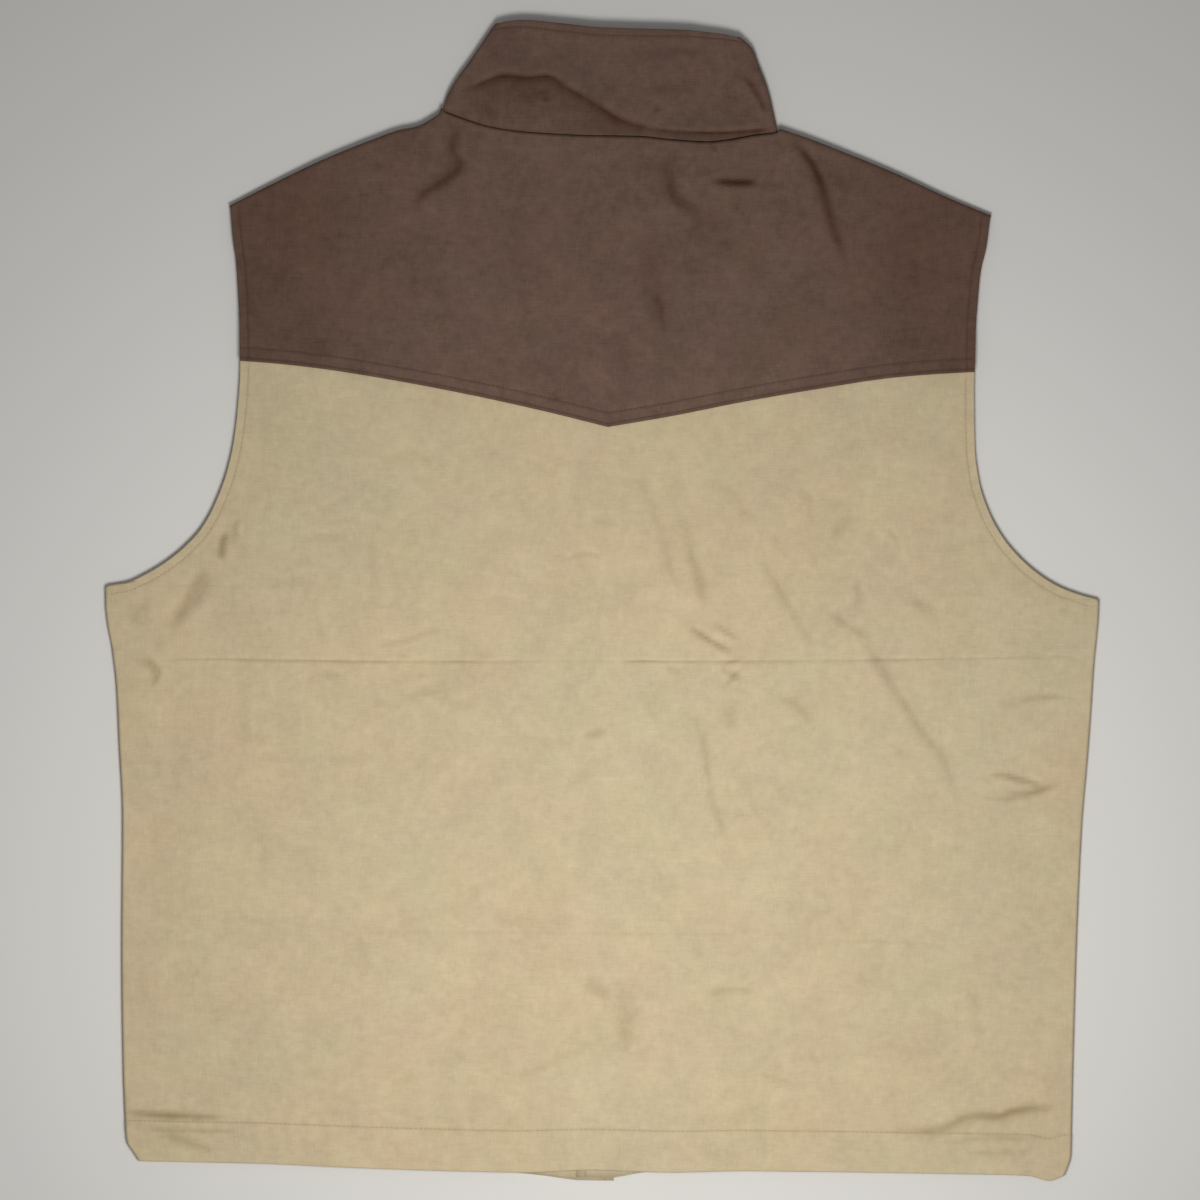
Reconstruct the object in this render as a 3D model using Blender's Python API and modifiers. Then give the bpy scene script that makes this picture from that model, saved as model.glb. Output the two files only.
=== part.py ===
"""A western vest of tan canvas with a brown yoke and stand collar, laid flat with its back up.

Metres, +Z up, +Y from the hem to the collar. The wearer's left is at -X. The two fronts lie on the
ground, the back lies on them, and the pieces are parted by SEAM_GAP where they are sewn together.
Each piece of cloth is a grid of points on the middle of its wall, thickened by a Solidify modifier.
"""

import math
from collections import namedtuple

import bmesh
import bpy
import numpy as np

# Cloth, seams and fasteners
CLOTH = 0.0016
COLLAR_CLOTH = 0.0020
SEAM_GAP = 0.0003
YOKE_LAP = 0.012
HEM_DEPTH = 0.026
HEM_SWELL = 0.0005
SNAP_RADIUS = 0.0062
SNAP_HEIGHT = 0.0012
SNAP_EDGE = 0.0004
SNAP_PITCH = 0.099
SNAP_COUNT = 6
TOP_SNAP_HEIGHT = 0.196
COLLAR_SNAP_HEIGHT = 0.258

# Closure at the centre front: the left front laps under the right one, which climbs over it
FRONT_LAP = 0.012
LAP_EDGE = 0.016
LAP_RAMP = 0.018
LAP_END = LAP_EDGE + LAP_RAMP
LAP_COLUMNS = (-FRONT_LAP, 0.002, LAP_EDGE, LAP_EDGE + LAP_RAMP / 2, LAP_END)

# The height of the middle of each layer of cloth
FRONT_LEVEL = CLOTH / 2
BACK_LEVEL = CLOTH + SEAM_GAP + CLOTH / 2
LEFT_LIFT = SNAP_HEIGHT + SEAM_GAP
SIDE_FULLNESS = 0.0010
BODY_FULLNESS = 0.0025
NECK_FULLNESS = 0.00325
NECK_FULL_FROM = 0.185
NECK_FULL_OVER = 0.038
COLLAR_FOLD_LEVEL = 0.0056
COLLAR_BACK_RISE = 0.0018

# Outline of the back: how far the cloth reaches to each side of the centre, from hem to shoulder end
Edge = namedtuple("Edge", "height left right")
OUTLINE = [
    Edge(-0.3628, 0.2962, 0.3005),
    Edge(-0.3525, 0.3001, 0.3045),
    Edge(-0.3365, 0.3014, 0.3049),
    Edge(-0.2980, 0.3033, 0.3052),
    Edge(-0.2210, 0.3052, 0.3063),
    Edge(-0.1445, 0.3058, 0.3085),
    Edge(-0.0930, 0.3088, 0.3120),
    Edge(-0.0600, 0.3108, 0.3139),
    Edge(-0.0350, 0.3140, 0.3152),
    Edge(-0.0165, 0.3176, 0.3168),
    Edge(-0.0040, 0.3187, 0.3176),
    Edge(0.0050, 0.3182, 0.3172),
    Edge(0.0075, 0.3055, 0.3086),
    Edge(0.0130, 0.2937, 0.2930),
    Edge(0.0200, 0.2822, 0.2808),
    Edge(0.0300, 0.2697, 0.2684),
    Edge(0.0440, 0.2573, 0.2560),
    Edge(0.0610, 0.2486, 0.2464),
    Edge(0.0800, 0.2420, 0.2400),
    Edge(0.1000, 0.2379, 0.2371),
    Edge(0.1200, 0.2358, 0.2363),
    Edge(0.1430, 0.2346, 0.2359),
    Edge(0.1600, 0.2347, 0.2361),
    Edge(0.1770, 0.2354, 0.2364),
    Edge(0.1950, 0.2367, 0.2376),
    Edge(0.2150, 0.2385, 0.2395),
    Edge(0.2300, 0.2409, 0.2429),
    Edge(0.2500, 0.2429, 0.2455),
]
ARMPIT = 0.0050
ROLL_ENDS_BELOW = 0.010
ROLL_ENDS_OVER = 0.015
FRONT_ARMHOLE_CUT = 0.0117

# The fronts lie flat on the ground in the middle and ripple by a hair towards their edges
FLAT_CENTRE = (0.15, -0.10)
FLAT_HALF = (0.06, 0.10)
RIPPLE = 0.00002
RIPPLE_LENGTH = 0.045
RIPPLE_OVER = 0.04

# The yoke's lower edge, from its point at the centre (share 0) to the armholes (share 1)
YokeEdge = namedtuple("YokeEdge", "share left right")
YOKE_SIDE_HEIGHT = 0.1502
YOKE_EDGE = [
    YokeEdge(0.00, 0.1113, 0.1113),
    YokeEdge(0.17, 0.1206, 0.1186),
    YokeEdge(0.37, 0.1303, 0.1285),
    YokeEdge(0.58, 0.1391, 0.1377),
    YokeEdge(0.78, 0.1460, 0.1454),
    YokeEdge(0.92, 0.1493, 0.1486),
    YokeEdge(1.00, 0.1505, 0.1499),
]

# The shoulder line, as a share of the way from the neck to the armhole
Shoulder = namedtuple("Shoulder", "share left left_height right right_height")
SHOULDERS = [
    Shoulder(0.00, 0.1075, 0.3118, 0.1091, 0.3043),
    Shoulder(0.12, 0.1235, 0.3025, 0.1255, 0.2990),
    Shoulder(0.20, 0.1345, 0.3001, 0.1364, 0.2951),
    Shoulder(0.30, 0.1480, 0.2952, 0.1500, 0.2900),
    Shoulder(0.55, 0.1815, 0.2812, 0.1840, 0.2766),
    Shoulder(0.80, 0.2155, 0.2645, 0.2182, 0.2614),
    Shoulder(1.00, 0.2429, 0.2501, 0.2455, 0.2506),
]
FRONT_SEAM_AT_NECK = (0.0874, 0.2637)
FRONT_SEAM_AT_ARM = (0.2264, 0.2054)

# The collar's seam on the back, its top edge, its folded sides and the front neckline
Seam = namedtuple("Seam", "across height")
COLLAR_SEAM = [
    Seam(-0.1062, 0.3085),
    Seam(-0.0948, 0.3062),
    Seam(-0.0741, 0.3018),
    Seam(-0.0483, 0.2989),
    Seam(-0.0141, 0.2975),
    Seam(0.0202, 0.2973),
    Seam(0.0374, 0.2958),
    Seam(0.0631, 0.2944),
    Seam(0.0768, 0.2960),
    Seam(0.0922, 0.2990),
    Seam(0.1074, 0.3012),
]
COLLAR_TOP = [
    Seam(-0.0740, 0.3672),
    Seam(-0.0680, 0.3700),
    Seam(-0.0551, 0.3712),
    Seam(-0.0295, 0.3690),
    Seam(-0.0038, 0.3668),
    Seam(0.0218, 0.3665),
    Seam(0.0474, 0.3662),
    Seam(0.0602, 0.3651),
    Seam(0.0730, 0.3638),
    Seam(0.0830, 0.3615),
]
CollarSide = namedtuple("CollarSide", "share left right")
COLLAR_SIDES = [
    CollarSide(0.00, 0.1049, 0.1077),
    CollarSide(0.18, 0.1037, 0.1053),
    CollarSide(0.38, 0.0982, 0.1026),
    CollarSide(0.52, 0.0924, 0.0998),
    CollarSide(0.70, 0.0855, 0.0953),
    CollarSide(0.86, 0.0795, 0.0915),
    CollarSide(1.00, 0.0740, 0.0830),
]
NECKLINE = [
    Seam(-0.0120, 0.2240),
    Seam(0.0000, 0.2240),
    Seam(0.0240, 0.2255),
    Seam(0.0480, 0.2310),
    Seam(0.0720, 0.2445),
    Seam(0.0874, 0.2637),
]
COLLAR_FRONT_DIP = 0.2940
COLLAR_FRONT_CURVE = 2.2
COLLAR_BESIDE_YOKE = 0.4

# Hems: the back rises a little at the centre, where the fronts reach lowest
BACK_HEM = [
    Seam(-0.3000, -0.3628),
    Seam(-0.1500, -0.3655),
    Seam(-0.0500, -0.3650),
    Seam(0.0000, -0.3600),
    Seam(0.0450, -0.3640),
    Seam(0.1000, -0.3634),
    Seam(0.3000, -0.3628),
]
FRONT_HEM_AT_SIDE = -0.3628
FRONT_HEM_AT_CENTRE = -0.3712
FRONT_HEM_CURVE = 5.0
FRONT_BEND_FROM = 0.03
BACK_HEM_REACH = 0.08
FRONT_HEM_REACH = 0.10

# The main folds pressed into the back: each is a soft trough between two places
Fold = namedtuple("Fold", "start end depth width")
FOLDS = [
    Fold((-0.285, -0.0410), (0.300, -0.0330), 0.0009, 0.012),
    Fold((-0.290, -0.2120), (0.290, -0.2040), 0.0006, 0.016),
    Fold((0.152, -0.0130), (0.195, -0.0820), 0.0018, 0.018),
    Fold((0.195, -0.0820), (0.229, -0.1260), 0.0016, 0.018),
    Fold((0.060, -0.0840), (0.080, -0.1520), 0.0016, 0.018),
    Fold((0.080, -0.1520), (0.077, -0.2000), 0.0014, 0.018),
    Fold((0.110, 0.0280), (0.137, -0.0300), 0.0014, 0.016),
    Fold((0.029, 0.0630), (0.062, 0.0050), 0.0010, 0.016),
    Fold((-0.232, 0.0660), (-0.262, 0.0100), 0.0015, 0.014),
    Fold((-0.285, -0.3320), (-0.250, -0.3360), 0.0014, 0.016),
    Fold((0.190, -0.3360), (0.290, -0.3260), 0.0015, 0.016),
    Fold((0.121, 0.2950), (0.155, 0.2240), 0.0018, 0.018),
    Fold((-0.120, 0.2700), (-0.110, 0.2480), 0.0012, 0.016),
    Fold((0.042, 0.2820), (0.060, 0.2450), 0.0012, 0.016),
]

FOLDS_END = 12

# Points of the grids
NECK_SHARE = 0.436
NECK_COLUMNS = 8
SHOULDER_COLUMNS = 10
FRONT_NECK_COLUMNS = 3
FRONT_SHOULDER_COLUMNS = 8
BODY_ROWS = 22
ROLL_TURNS = (45, 90, 100)
FLAP_TURNS = (45, 90, 135, 180)
FLAP_SHARES = (0.45, 1.0)
LAST_SHOULDER_SHARE = 0.985
YOKE_ROWS_UP = (0.0, 0.12, 0.26, 0.42, 0.58, 0.74, 0.88, 1.0)
YOKE_RISE = {0: 1.0, 1: 1.0, 2: 0.55, 3: 0.12}
COLLAR_ROWS = (0.0, 0.25, 0.5, 0.75, 1.0)
COLLAR_FOLD_TURNS = (45, 90, 135, 180)
COLLAR_FRONT_COLUMNS = 8

# Colours as linear red, green and blue
TAN = (0.59, 0.47, 0.31)
BROWN = (0.117, 0.075, 0.058)
BRASS = (0.30, 0.22, 0.13)

Cloth = namedtuple("Cloth", "name thickness material")


def along(table, at, column):
    """The column's value at this place, on a smooth curve through the table's rows."""
    places = [row[0] for row in table]
    values = [getattr(row, column) for row in table]
    at = min(max(at, places[0]), places[-1])
    k = min(np.searchsorted(places, at, side="right"), len(places) - 1) - 1
    slopes = [(values[i + 1] - values[i]) / (places[i + 1] - places[i]) for i in range(len(places) - 1)]

    def slope_at(i):
        if i == 0 or i == len(slopes):
            return slopes[min(i, len(slopes) - 1)]
        before, after = slopes[i - 1], slopes[i]
        return 0.0 if before * after <= 0 else 2 * before * after / (before + after)

    step = places[k + 1] - places[k]
    t = (at - places[k]) / step
    return (
        (1 + 2 * t) * (1 - t) ** 2 * values[k]
        + t * (1 - t) ** 2 * step * slope_at(k)
        + t * t * (3 - 2 * t) * values[k + 1]
        + t * t * (t - 1) * step * slope_at(k + 1)
    )


def ease(t):
    """0 to 1, starting and ending level."""
    t = min(max(t, 0.0), 1.0)
    return t * t * (3 - 2 * t)


def mix(a, b, t):
    return a + (b - a) * t


def reach(height, side):
    """How far the back reaches to this side (-1 left, 1 right) at this height."""
    return along(OUTLINE, height, "left" if side < 0 else "right")


def trough(x, y):
    """How far the folds press the back down here."""
    deepest = 0.0
    for fold in FOLDS:
        (x0, y0), (x1, y1) = fold.start, fold.end
        length = math.hypot(x1 - x0, y1 - y0)
        lengthways = ((x - x0) * (x1 - x0) + (y - y0) * (y1 - y0)) / length
        past_end = max(-lengthways, lengthways - length, 0.0)
        sideways = ((x - x0) * (y1 - y0) - (y - y0) * (x1 - x0)) / length
        away = math.hypot(sideways, past_end) / fold.width
        deepest = max(deepest, fold.depth * (1 - ease(away)))
    return deepest


def front_lift(x, side, thickness):
    """How far a front, or the collar's front end, is lifted by what lies under it at the centre."""
    if side < 0:
        return LEFT_LIFT * (1 - ease((-x - LAP_EDGE) / LAP_RAMP))
    over_left = LEFT_LIFT + thickness + SEAM_GAP
    return over_left * (1 - ease((x - LAP_EDGE) / LAP_RAMP))


def back_height(x, y, share):
    """The middle of the back's cloth: it lies full over the fronts and comes down at its edges."""
    full = mix(BODY_FULLNESS, NECK_FULLNESS, ease((y - NECK_FULL_FROM) / NECK_FULL_OVER))
    full = SIDE_FULLNESS + full * (1 - share * share)
    lowest = front_lift(abs(x), 1, CLOTH)
    pressed = trough(x, y) * (1 - share ** FOLDS_END)
    return BACK_LEVEL + max(full - pressed, lowest, 0.0)


def half_columns():
    """Shares of the half width for the back and yoke, with one column at the neck's corner."""
    inner = np.linspace(0, NECK_SHARE, NECK_COLUMNS + 1)
    outer = np.linspace(NECK_SHARE, 1, SHOULDER_COLUMNS + 1)
    return list(inner) + list(outer[1:])


def back_columns():
    """(side, share, turn) from left to right; turn is the angle round the fold at the side."""
    half = [(share, 0) for share in half_columns()] + [(1.0, turn) for turn in ROLL_TURNS]
    left = [(-1, share, turn) for share, turn in reversed(half[1:])]
    return left + [(1, share, turn) for share, turn in half]


# A turn past a right angle stands for the short straight tail that ends at the side seam
SIDE_TAIL = 0.0002
SIDE_ROUND = (BACK_LEVEL + SIDE_FULLNESS - FRONT_LEVEL - SEAM_GAP) / 2 - SIDE_TAIL


def rolled(height, side, share, turn, outer):
    """(x, drop) of a column at this height: the cloth rolls over at the side seam below the armpit."""
    flat = outer - CLOTH / 2 - SIDE_ROUND
    roll = 1 - ease((height - ARMPIT + ROLL_ENDS_BELOW) / ROLL_ENDS_OVER)
    angle = math.radians(min(turn, 90))
    spread = (CLOTH / 2 + SIDE_ROUND) * turn / ROLL_TURNS[-1]
    x = share * flat + mix(spread, SIDE_ROUND * math.sin(angle), roll)
    tail = SIDE_TAIL if turn > 90 else 0.0
    return side * x, roll * (SIDE_ROUND * (1 - math.cos(angle)) + tail)


def body_heights():
    below = list(np.linspace(OUTLINE[0].height, ARMPIT, BODY_ROWS + 1))
    above = [edge.height for edge in OUTLINE if ARMPIT < edge.height < YOKE_SIDE_HEIGHT - 0.01]
    return below + above


def back_point(column, height):
    """A point of the back panel, and of the yoke's lap, in the row that meets the side at this height."""
    side, share, turn = column
    x, drop = rolled(height, side, share, turn, reach(height, side))
    bend = ease((height - ARMPIT) / (YOKE_SIDE_HEIGHT - ARMPIT))
    y = height - bend * (YOKE_SIDE_HEIGHT - along(YOKE_EDGE, share, "left" if side < 0 else "right"))
    hem = 1 - ease((height - OUTLINE[0].height) / BACK_HEM_REACH)
    y += hem * (along(BACK_HEM, x, "height") - OUTLINE[0].height)
    z = back_height(x, y, share) - drop
    if height < OUTLINE[0].height + HEM_DEPTH:
        z += HEM_SWELL
    return x, y, z


def shoulder_point(side, share):
    """Where the yoke starts to turn over the shoulder, where its front seam lies, and the turn's radius."""
    name = "left" if side < 0 else "right"
    x = along(SHOULDERS, share, name)
    y = along(SHOULDERS, share, name + "_height")
    seam_x = mix(FRONT_SEAM_AT_NECK[0], FRONT_SEAM_AT_ARM[0], share)
    seam_y = mix(FRONT_SEAM_AT_NECK[1], FRONT_SEAM_AT_ARM[1], share)
    length = math.hypot(x - seam_x, y - seam_y)
    out_x, out_y = (x - seam_x) / length, (y - seam_y) / length
    across = mix(NECK_SHARE, 1, share)
    level = back_height(side * x, y, across)
    radius = (level - FRONT_LEVEL) / 2
    inset = radius + CLOTH / 2
    start = (side * (x - out_x * inset), y - out_y * inset)
    return start, (side * seam_x, seam_y), (side * out_x, out_y), radius


def yoke_top(column):
    side, share, turn = column
    if share <= NECK_SHARE:
        end = COLLAR_SEAM[0].across if side < 0 else COLLAR_SEAM[-1].across
        x = end * share / NECK_SHARE
        return x, along(COLLAR_SEAM, x, "height")
    return shoulder_point(side, shoulder_share(column))[0]


def shoulder_share(column):
    """Share of the way from the neck to the armhole, with the roll's columns squeezed in at the end."""
    side, share, turn = column
    if turn:
        return mix(LAST_SHOULDER_SHARE, 1.0, turn / ROLL_TURNS[-1])
    return LAST_SHOULDER_SHARE * (share - NECK_SHARE) / (1 - NECK_SHARE)


def yoke_point(column, row):
    """A point of the yoke between its lower edge and the collar seam or shoulder."""
    if row == 0:
        x, y, z = back_point(column, YOKE_SIDE_HEIGHT)
        return x, y, z + CLOTH + SEAM_GAP
    side, share, turn = column
    low_x, low_y, _ = back_point(column, YOKE_SIDE_HEIGHT + YOKE_LAP)
    top_x, top_y = yoke_top(column)
    up = (YOKE_ROWS_UP[row] - YOKE_ROWS_UP[1]) / (1 - YOKE_ROWS_UP[1])
    x, y = mix(low_x, top_x, up), mix(low_y, top_y, up)
    edge = mix(YOKE_SIDE_HEIGHT + YOKE_LAP, OUTLINE[-1].height, up)
    straight = mix(reach(YOKE_SIDE_HEIGHT + YOKE_LAP, side), OUTLINE[-1][1 if side < 0 else 2], up)
    x *= mix(1, reach(edge, side) / straight, share)
    z = back_height(x, y, share) + YOKE_RISE.get(row, 0.0) * (CLOTH + SEAM_GAP)
    return x, y, z


def flap_point(side, column, step):
    """A point of the yoke's part that turns over the shoulder to the forward shoulder seam."""
    start, seam, out, radius = shoulder_point(side, shoulder_share(column))
    x, y = yoke_top(column) if column[1] <= NECK_SHARE else start
    if step <= len(FLAP_TURNS):
        angle = math.radians(([0] + list(FLAP_TURNS))[step])
        forward = radius * math.sin(angle)
        z = FRONT_LEVEL + radius * (1 + math.cos(angle))
        if step == 0:
            return yoke_point(column, len(YOKE_ROWS_UP) - 1)
        return x + out[0] * forward, y + out[1] * forward, z
    share = FLAP_SHARES[step - len(FLAP_TURNS) - 1]
    return mix(x, seam[0], share), mix(y, seam[1], share), FRONT_LEVEL


def front_columns():
    """(fixed, share, turn) from the centre-front edge to the side. The lap's columns keep a fixed x."""
    corner = (FRONT_SEAM_AT_NECK[0] - LAP_END) / (FRONT_SEAM_AT_ARM[0] - LAP_END)
    neck = list(np.linspace(0, corner, FRONT_NECK_COLUMNS + 1))[1:]
    shoulder = list(np.linspace(corner, 1, FRONT_SHOULDER_COLUMNS + 1))[1:]
    columns = [(x, 0.0, 0) for x in LAP_COLUMNS]
    columns += [(None, share, 0) for share in neck + shoulder]
    return columns + [(None, 1.0, turn) for turn in ROLL_TURNS]


def front_top(x):
    """The front's upper edge at this distance from the centre: the neckline, then the shoulder seam."""
    neck, arm = FRONT_SEAM_AT_NECK, FRONT_SEAM_AT_ARM
    if x <= neck[0]:
        return along(NECKLINE, x, "height")
    return mix(neck[1], arm[1], min(1.0, (x - neck[0]) / (arm[0] - neck[0])))


def ripple(x, y):
    """How far a front's cloth stands off the ground, at this distance from the centre line."""
    off = max(abs(x - FLAT_CENTRE[0]) - FLAT_HALF[0], abs(y - FLAT_CENTRE[1]) - FLAT_HALF[1], 0.0)
    turn = 2 * math.pi / RIPPLE_LENGTH
    return RIPPLE * ease(off / RIPPLE_OVER) * (1 - math.cos(turn * x) * math.cos(turn * y))


def front_point(side, column, height):
    """A point of a front panel, in the row that meets the side at this height."""
    fixed, share, turn = column
    top = FRONT_SEAM_AT_ARM[1] - SEAM_GAP
    cut = FRONT_ARMHOLE_CUT * ease((height - ARMPIT) / (top - ARMPIT))
    outer = reach(height, side) - cut
    if fixed is None:
        flat_x, rise = rolled(height, 1, 1.0, turn, outer)
        x = mix(LAP_END, flat_x, share)
        top_x = mix(LAP_END, FRONT_SEAM_AT_ARM[0], share)
    else:
        x, top_x, rise = fixed, fixed, 0.0
    bend = ease((height - FRONT_BEND_FROM) / (top - FRONT_BEND_FROM))
    y = height + bend * (front_top(top_x) - FRONT_SEAM_AT_ARM[1])
    low = 1 - ease((height - OUTLINE[0].height) / FRONT_HEM_REACH)
    hang = max(0.0, 1 - max(0.0, abs(x) - FRONT_LAP) / outer) ** FRONT_HEM_CURVE
    y += low * hang * (FRONT_HEM_AT_CENTRE - FRONT_HEM_AT_SIDE)
    lift = front_lift(side * x if side < 0 else x, side, CLOTH)
    return side * x, y, FRONT_LEVEL + rise + lift + ripple(x, y)


def front_heights():
    below = list(np.linspace(OUTLINE[0].height, ARMPIT, 12))
    top = FRONT_SEAM_AT_ARM[1] - SEAM_GAP
    above = [edge.height for edge in OUTLINE if ARMPIT < edge.height < top - 0.005]
    return below + above + [top]


def collar_side(side, share):
    return along(COLLAR_SIDES, share, "left" if side < 0 else "right")


# On a slanting seam the sideways distance is larger than the gap
NECK_CLEARANCE = 3 * SEAM_GAP
COLLAR_FRONT_LEVEL = COLLAR_CLOTH / 2
COLLAR_ROUND = (COLLAR_FOLD_LEVEL - COLLAR_FRONT_LEVEL) / 2


def collar_columns():
    """(part, side, place) along the strip, from its left end round the back to its right end."""
    ends = [i / COLLAR_FRONT_COLUMNS for i in range(COLLAR_FRONT_COLUMNS)]
    left = [("front", -1, 1 - place) for place in ends] + [("front", -1, 0.0)]
    left += [("fold", -1, turn) for turn in reversed(COLLAR_FOLD_TURNS[:-1])]
    back = [("back", 0, share) for share in np.linspace(-1, 1, 2 * NECK_COLUMNS + 1)]
    right = [("fold", 1, turn) for turn in COLLAR_FOLD_TURNS[:-1]] + [("front", 1, 0.0)]
    right += [("front", 1, place + 1 / COLLAR_FRONT_COLUMNS) for place in ends]
    return left + back + right


def collar_fold_start(side, up):
    """Where the collar starts to turn under at its side, at this share of its height."""
    x = side * (collar_side(side, up) - COLLAR_ROUND - COLLAR_CLOTH / 2)
    bottom = side * (collar_side(side, 0) - COLLAR_ROUND - COLLAR_CLOTH / 2)
    low = along(COLLAR_SEAM, bottom, "height") + SEAM_GAP
    top = side * (collar_side(side, 1) - COLLAR_ROUND - COLLAR_CLOTH / 2)
    return x, mix(low, along(COLLAR_TOP, top, "height"), up)


def collar_front_edge(side, place):
    """The collar's lower edge on the front: down beside the yoke, then round the front neckline."""
    start_x, start_y = collar_fold_start(side, 0)
    start_x = abs(start_x)
    corner_x, corner_y = FRONT_SEAM_AT_NECK
    if place <= COLLAR_BESIDE_YOKE:
        t = place / COLLAR_BESIDE_YOKE
        return mix(start_x, corner_x, t) - NECK_CLEARANCE * ease(4 * t), mix(start_y, corner_y, t)
    t = (place - COLLAR_BESIDE_YOKE) / (1 - COLLAR_BESIDE_YOKE)
    across = mix(corner_x, -FRONT_LAP, t)
    return across - NECK_CLEARANCE * (1 - t), along(NECKLINE, across, "height") + NECK_CLEARANCE / 2


def collar_point(column, up):
    part, side, place = column
    if part == "back":
        left, low_left = collar_fold_start(-1, up)
        right, low_right = collar_fold_start(1, up)
        x = mix(left, right, (place + 1) / 2)
        bottom = mix(collar_fold_start(-1, 0)[0], collar_fold_start(1, 0)[0], (place + 1) / 2)
        top = mix(collar_fold_start(-1, 1)[0], collar_fold_start(1, 1)[0], (place + 1) / 2)
        low = along(COLLAR_SEAM, bottom, "height") + SEAM_GAP
        y = mix(low, along(COLLAR_TOP, top, "height"), up)
        return x, y, COLLAR_FOLD_LEVEL + COLLAR_BACK_RISE * (1 - place * place)
    x, y = collar_fold_start(side, up)
    if part == "fold":
        angle = math.radians(place)
        z = COLLAR_FRONT_LEVEL + COLLAR_ROUND * (1 + math.cos(angle))
        return x + side * COLLAR_ROUND * math.sin(angle), y, z
    low_x, low_y = collar_front_edge(side, place)
    fold_top_x, fold_top_y = collar_fold_start(side, 1)
    top_x = mix(abs(fold_top_x), -FRONT_LAP, place)
    spread = max(0.0, top_x) / abs(fold_top_x)
    top_y = mix(COLLAR_FRONT_DIP, fold_top_y, spread ** COLLAR_FRONT_CURVE)
    across = mix(low_x, top_x, up)
    straight = mix(abs(collar_fold_start(side, 0)[0]), abs(fold_top_x), up)
    across += (1 - place) * (abs(x) - straight)
    z = COLLAR_FRONT_LEVEL + front_lift(side * across if side < 0 else across, side, COLLAR_CLOTH)
    return side * across, mix(low_y, top_y, up), z


def material(name, colour, roughness, metallic=0.0):
    made = bpy.data.materials.new(name)
    made.use_nodes = True
    shader = made.node_tree.nodes["Principled BSDF"]
    shader.inputs["Base Color"].default_value = (*colour, 1)
    shader.inputs["Roughness"].default_value = roughness
    shader.inputs["Metallic"].default_value = metallic
    return made


def add_object(name, mesh, made_of, collection):
    mesh.materials.append(made_of)
    mesh.shade_smooth()
    obj = bpy.data.objects.new(name, mesh)
    collection.objects.link(obj)
    return obj


def cloth_piece(cloth, patches, collection):
    """A wall of cloth from grids of points. Each patch is (columns, rows, place)."""
    bm = bmesh.new()
    for columns, rows, place in patches:
        old = set(bm.verts)
        across, up = len(columns) - 1, len(rows) - 1
        bmesh.ops.create_grid(bm, x_segments=across, y_segments=up, size=0.5)
        for vert in [v for v in bm.verts if v not in old]:
            column = columns[round((vert.co.x + 0.5) * across)]
            row = rows[round((vert.co.y + 0.5) * up)]
            vert.co = place(column, row)
    bmesh.ops.remove_doubles(bm, verts=bm.verts, dist=1e-6)
    mesh = bpy.data.meshes.new(cloth.name)
    bm.to_mesh(mesh)
    bm.free()
    obj = add_object(cloth.name, mesh, cloth.material, collection)
    wall = obj.modifiers.new("wall", "SOLIDIFY")
    wall.thickness = cloth.thickness
    wall.offset = 0
    wall.use_even_offset = True
    return obj


def back_panel(tan, collection):
    heights = body_heights() + [YOKE_SIDE_HEIGHT, YOKE_SIDE_HEIGHT + YOKE_LAP]
    patch = (back_columns(), heights, back_point)
    cloth_piece(Cloth("back_panel", CLOTH, tan), [patch], collection)


def back_yoke(brown, collection):
    columns = back_columns()
    patches = [(columns, range(len(YOKE_ROWS_UP)), yoke_point)]
    steps = range(1 + len(FLAP_TURNS) + len(FLAP_SHARES))
    for side in (-1, 1):
        on_shoulder = [c for c in columns if c[0] * side > 0 and c[1] >= NECK_SHARE]
        patches.append((on_shoulder, steps, lambda column, step, side=side: flap_point(side, column, step)))
    cloth_piece(Cloth("back_yoke", CLOTH, brown), patches, collection)


def front(side, tan, collection):
    # Each front's columns run outwards, so the left one's rows run down for its normals to face up
    heights = front_heights()[::-1] if side < 0 else front_heights()
    name = "front_left" if side < 0 else "front_right"
    patch = (front_columns(), heights, lambda column, height: front_point(side, column, height))
    cloth_piece(Cloth(name, CLOTH, tan), [patch], collection)


def collar(brown, collection):
    patch = (collar_columns(), COLLAR_ROWS, collar_point)
    cloth_piece(Cloth("collar", COLLAR_CLOTH, brown), [patch], collection)


def snap(name, height, brass, collection):
    """The cap of a snap fastener: a low disc with a rounded rim, face down on the ground."""
    bm = bmesh.new()
    bmesh.ops.create_cone(
        bm, cap_ends=True, segments=24, radius1=SNAP_RADIUS, radius2=SNAP_RADIUS, depth=SNAP_HEIGHT
    )
    mesh = bpy.data.meshes.new(name)
    bm.to_mesh(mesh)
    bm.free()
    obj = add_object(name, mesh, brass, collection)
    obj.location = (0, height, SNAP_HEIGHT / 2)
    rim = obj.modifiers.new("rim", "BEVEL")
    rim.width = SNAP_EDGE
    rim.segments = 2


def main():
    for obj in list(bpy.data.objects):
        bpy.data.objects.remove(obj)
    collection = bpy.data.collections.new("western_vest")
    bpy.context.scene.collection.children.link(collection)
    tan = material("tan_canvas", TAN, 0.9)
    brown = material("brown_canvas", BROWN, 0.85)
    brass = material("antique_brass", BRASS, 0.4, 0.9)
    front(-1, tan, collection)
    front(1, tan, collection)
    back_panel(tan, collection)
    back_yoke(brown, collection)
    collar(brown, collection)
    for number in range(SNAP_COUNT):
        snap(f"snap_{number + 1}", TOP_SNAP_HEIGHT - number * SNAP_PITCH, brass, collection)
    snap("snap_collar", COLLAR_SNAP_HEIGHT, brass, collection)


main()
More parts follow.
